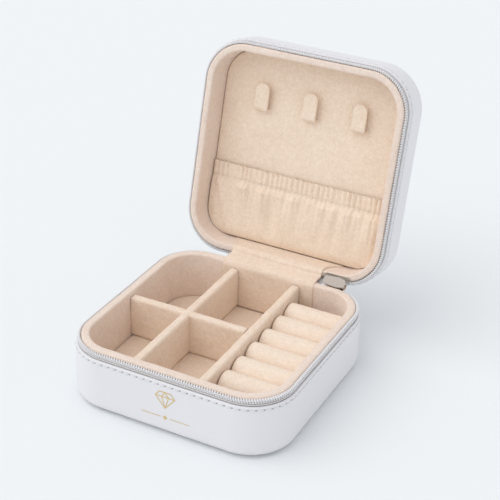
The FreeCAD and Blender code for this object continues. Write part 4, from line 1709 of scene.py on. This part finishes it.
@dataclass
class NecklaceHooks(Maker):
    """Velvet hooks sewn into the lid's panel, open at the top."""

    thick: float = 1.35 * MM
    drop: float = 1.1 * MM

    def build(self) -> None:
        """Makes the three hooks over their CAD nodes."""
        turn = self.case.opening()
        for index in range(1, 4):
            node = f"necklace_hook_{index}"
            low, high = self.case.shut_box(node)
            self.hook(node, f"hook_{index}", low, high, turn)

    def hook(self, node: str, name: str, low: Vector, high: Vector, turn: Matrix) -> None:
        """Makes one hook in the box of its CAD node.

        Args:
            node: the CAD node.
            name: the piece's name.
            low: the box's lowest corner, with the lid shut.
            high: its highest corner.
            turn: the turn to its place at rest.
        """
        t = self.thick
        corners = [
            Vector((0, high.y + self.drop - t / 2, high.z + 0.6 * MM)),
            Vector((0, high.y + self.drop - t / 2, low.z + t / 2)),
            Vector((0, low.y + t / 2, low.z + t / 2)),
        ]
        path = smooth_path(corners, [0, 2.4 * MM, 0], 0.45 * MM)
        rows = len(path) - 1
        width = (high.x - low.x) / 2
        centre = (high.x + low.x) / 2
        total = sum((b - a).length for a, b in zip(path, path[1:]))

        def half(row: int) -> Tuple[float, float]:
            """Left and right reach of the strip, rounded off at its tip.

            Args:
                row: the row.

            Returns:
                The two reaches.
            """
            left = total * (1 - row / rows)
            tip = min(left / (width * 0.85), 1.0)
            reach = (width - t * 0.35) * max(1 - (1 - tip) ** 2.4, 0.0) ** 0.5
            reach = max(reach, width * 0.3)
            return centre - reach, centre + reach

        bm = ribbon_mesh(path, half, 14)
        bmesh.ops.recalc_face_normals(bm, faces=bm.faces[:])
        bmesh.ops.solidify(bm, geom=bm.faces[:], thickness=t)
        bmesh.ops.recalc_face_normals(bm, faces=bm.faces[:])
        self.finish(bm, name, self.palette.lid_velvet, Slot.VELVET, [node], turn, Body.LID, rounds=1)


@dataclass
class SliderAndPull(Maker):
    """Polished slider, its bail and the pull, with their edges eased."""

    ease: float = 0.16 * MM

    def polished(self, node: str, name: str, body: Body, metal: bpy.types.Material) -> None:
        """Makes a piece from a CAD node's merged copy with rounded edges.

        Args:
            node: the CAD node.
            name: the piece's name.
            body: the body that it rides on.
            metal: its finish.
        """
        bm = bmesh.new()
        bm.from_mesh(frame["nodes"][node].data)
        bmesh.ops.remove_doubles(bm, verts=bm.verts[:], dist=1e-6)
        bmesh.ops.dissolve_limit(bm, angle_limit=math.radians(1.0), verts=bm.verts[:], edges=bm.edges[:])
        sharp = [e for e in bm.edges if len(e.link_faces) == 2 and e.calc_face_angle() > math.radians(40)]
        bmesh.ops.bevel(
            bm, geom=sharp, offset=self.ease, offset_type="OFFSET", affect="EDGES", segments=3, profile=0.5,
            material=-1, clamp_overlap=True,
        )
        bmesh.ops.recalc_face_normals(bm, faces=bm.faces[:])
        piece = self.finish(bm, name, metal, Slot.METAL, [node], body=body)
        for polygon in piece.data.polygons:
            polygon.use_smooth = polygon.area < (0.6 * MM) ** 2

    def build(self) -> None:
        """Makes the three metal pieces."""
        self.polished("zip_slider", "slider_body", Body.SLIDER, self.palette.slider)
        self.polished("slider_bail", "slider_bridge", Body.SLIDER, self.palette.chrome)
        self.polished("zip_pull_tab", "pull_tab", Body.PULL, self.palette.chrome)


# ---------------------------------------------------------------- studio


@dataclass(frozen=True)
class Studio:
    """Pale floor, soft light and the camera."""

    azimuth: float = math.radians(26.391)
    elevation: float = math.radians(28.972)
    roll: float = math.radians(1.9)
    distance: float = 0.5427
    target: Tuple[float, float, float] = (0.01255, 0.0, 0.06467)
    lens: float = 95.9
    sensor: float = 36.0
    sky: Colour = paint(0.93, 0.94, 0.955)
    sky_strength: float = 0.83
    key_strength: float = 0.95
    key_spread: float = math.radians(60)
    key_from: Tuple[float, float, float] = (-0.75, -0.55, 1.25)
    floor_colour: Colour = paint(0.87, 0.895, 0.91)

    def camera(self) -> None:
        """Places the camera."""
        away = Vector((
            math.sin(self.azimuth) * math.cos(self.elevation),
            -math.cos(self.azimuth) * math.cos(self.elevation),
            math.sin(self.elevation),
        ))
        data = bpy.data.cameras.new("studio_camera")
        data.lens = self.lens
        data.sensor_width = self.sensor
        data.clip_start = 0.01
        data.clip_end = 20.0
        camera = bpy.data.objects.new("studio_camera", data)
        bpy.context.scene.collection.objects.link(camera)
        ahead = -away
        right = ahead.cross(UP).normalized()
        over = right.cross(ahead)
        turned_right = right * math.cos(self.roll) + over * math.sin(self.roll)
        turned_up = over * math.cos(self.roll) - right * math.sin(self.roll)
        pose = Matrix((turned_right, turned_up, away)).transposed().to_4x4()
        camera.matrix_world = Matrix.Translation(Vector(self.target) + away * self.distance) @ pose
        bpy.context.scene.camera = camera

    def light(self) -> None:
        """Adds the soft key light and the pale surroundings."""
        data = bpy.data.lights.new("key_light", "SUN")
        data.energy = self.key_strength
        data.angle = self.key_spread
        data.color = (1.0, 0.985, 0.965)
        lamp = bpy.data.objects.new("key_light", data)
        lamp.visible_glossy = False
        lamp.rotation_euler = (-Vector(self.key_from)).to_track_quat("-Z", "Y").to_euler()
        bpy.context.scene.collection.objects.link(lamp)
        world = bpy.data.worlds.new("studio_air")
        world.use_nodes = True
        sky = world.node_tree.nodes["Background"]
        sky.inputs[0].default_value = self.sky
        sky.inputs[1].default_value = self.sky_strength
        bpy.context.scene.world = world

    def floor(self) -> None:
        """Lays the floor."""
        nodes = Nodes("studio_floor")
        haze = nodes.clouds(0.4, 2.0)
        dim = paint(*(channel * 0.995 for channel in self.floor_colour[:3]))
        colour = nodes.blend(haze, dim, self.floor_colour)
        nodes.surface({"Base Color": colour, "Roughness": 0.85, "Specular IOR Level": 0.1})
        bm = bmesh.new()
        bmesh.ops.create_grid(bm, x_segments=4, y_segments=4, size=6.0)
        mesh = bpy.data.meshes.new("studio_floor")
        bm.to_mesh(mesh)
        bm.free()
        mesh.materials.append(nodes.material)
        floor = bpy.data.objects.new("studio_floor", mesh)
        bpy.context.scene.collection.objects.link(floor)

    def build(self) -> None:
        """Sets the scene."""
        self.camera()
        self.light()
        self.floor()
        view = bpy.context.scene.view_settings
        view.view_transform = "Standard"
        view.look = "None"


def main() -> None:
    """Builds the studio and every sub-assembly in order."""
    logging.basicConfig(level=logging.INFO, format="%(message)s")
    Studio().build()
    case = Case()
    palette = Palette()
    makers = [
        BaseShell, Zip, VelvetTray, Dividers, RingRolls, LidShell, LidInterior, Hinge, Pocket, NecklaceHooks,
        SliderAndPull,
    ]
    for maker in makers:
        log.info("-- %s", maker.__name__)
        maker(case, palette).build()


if __name__ == "__main__":
    main()
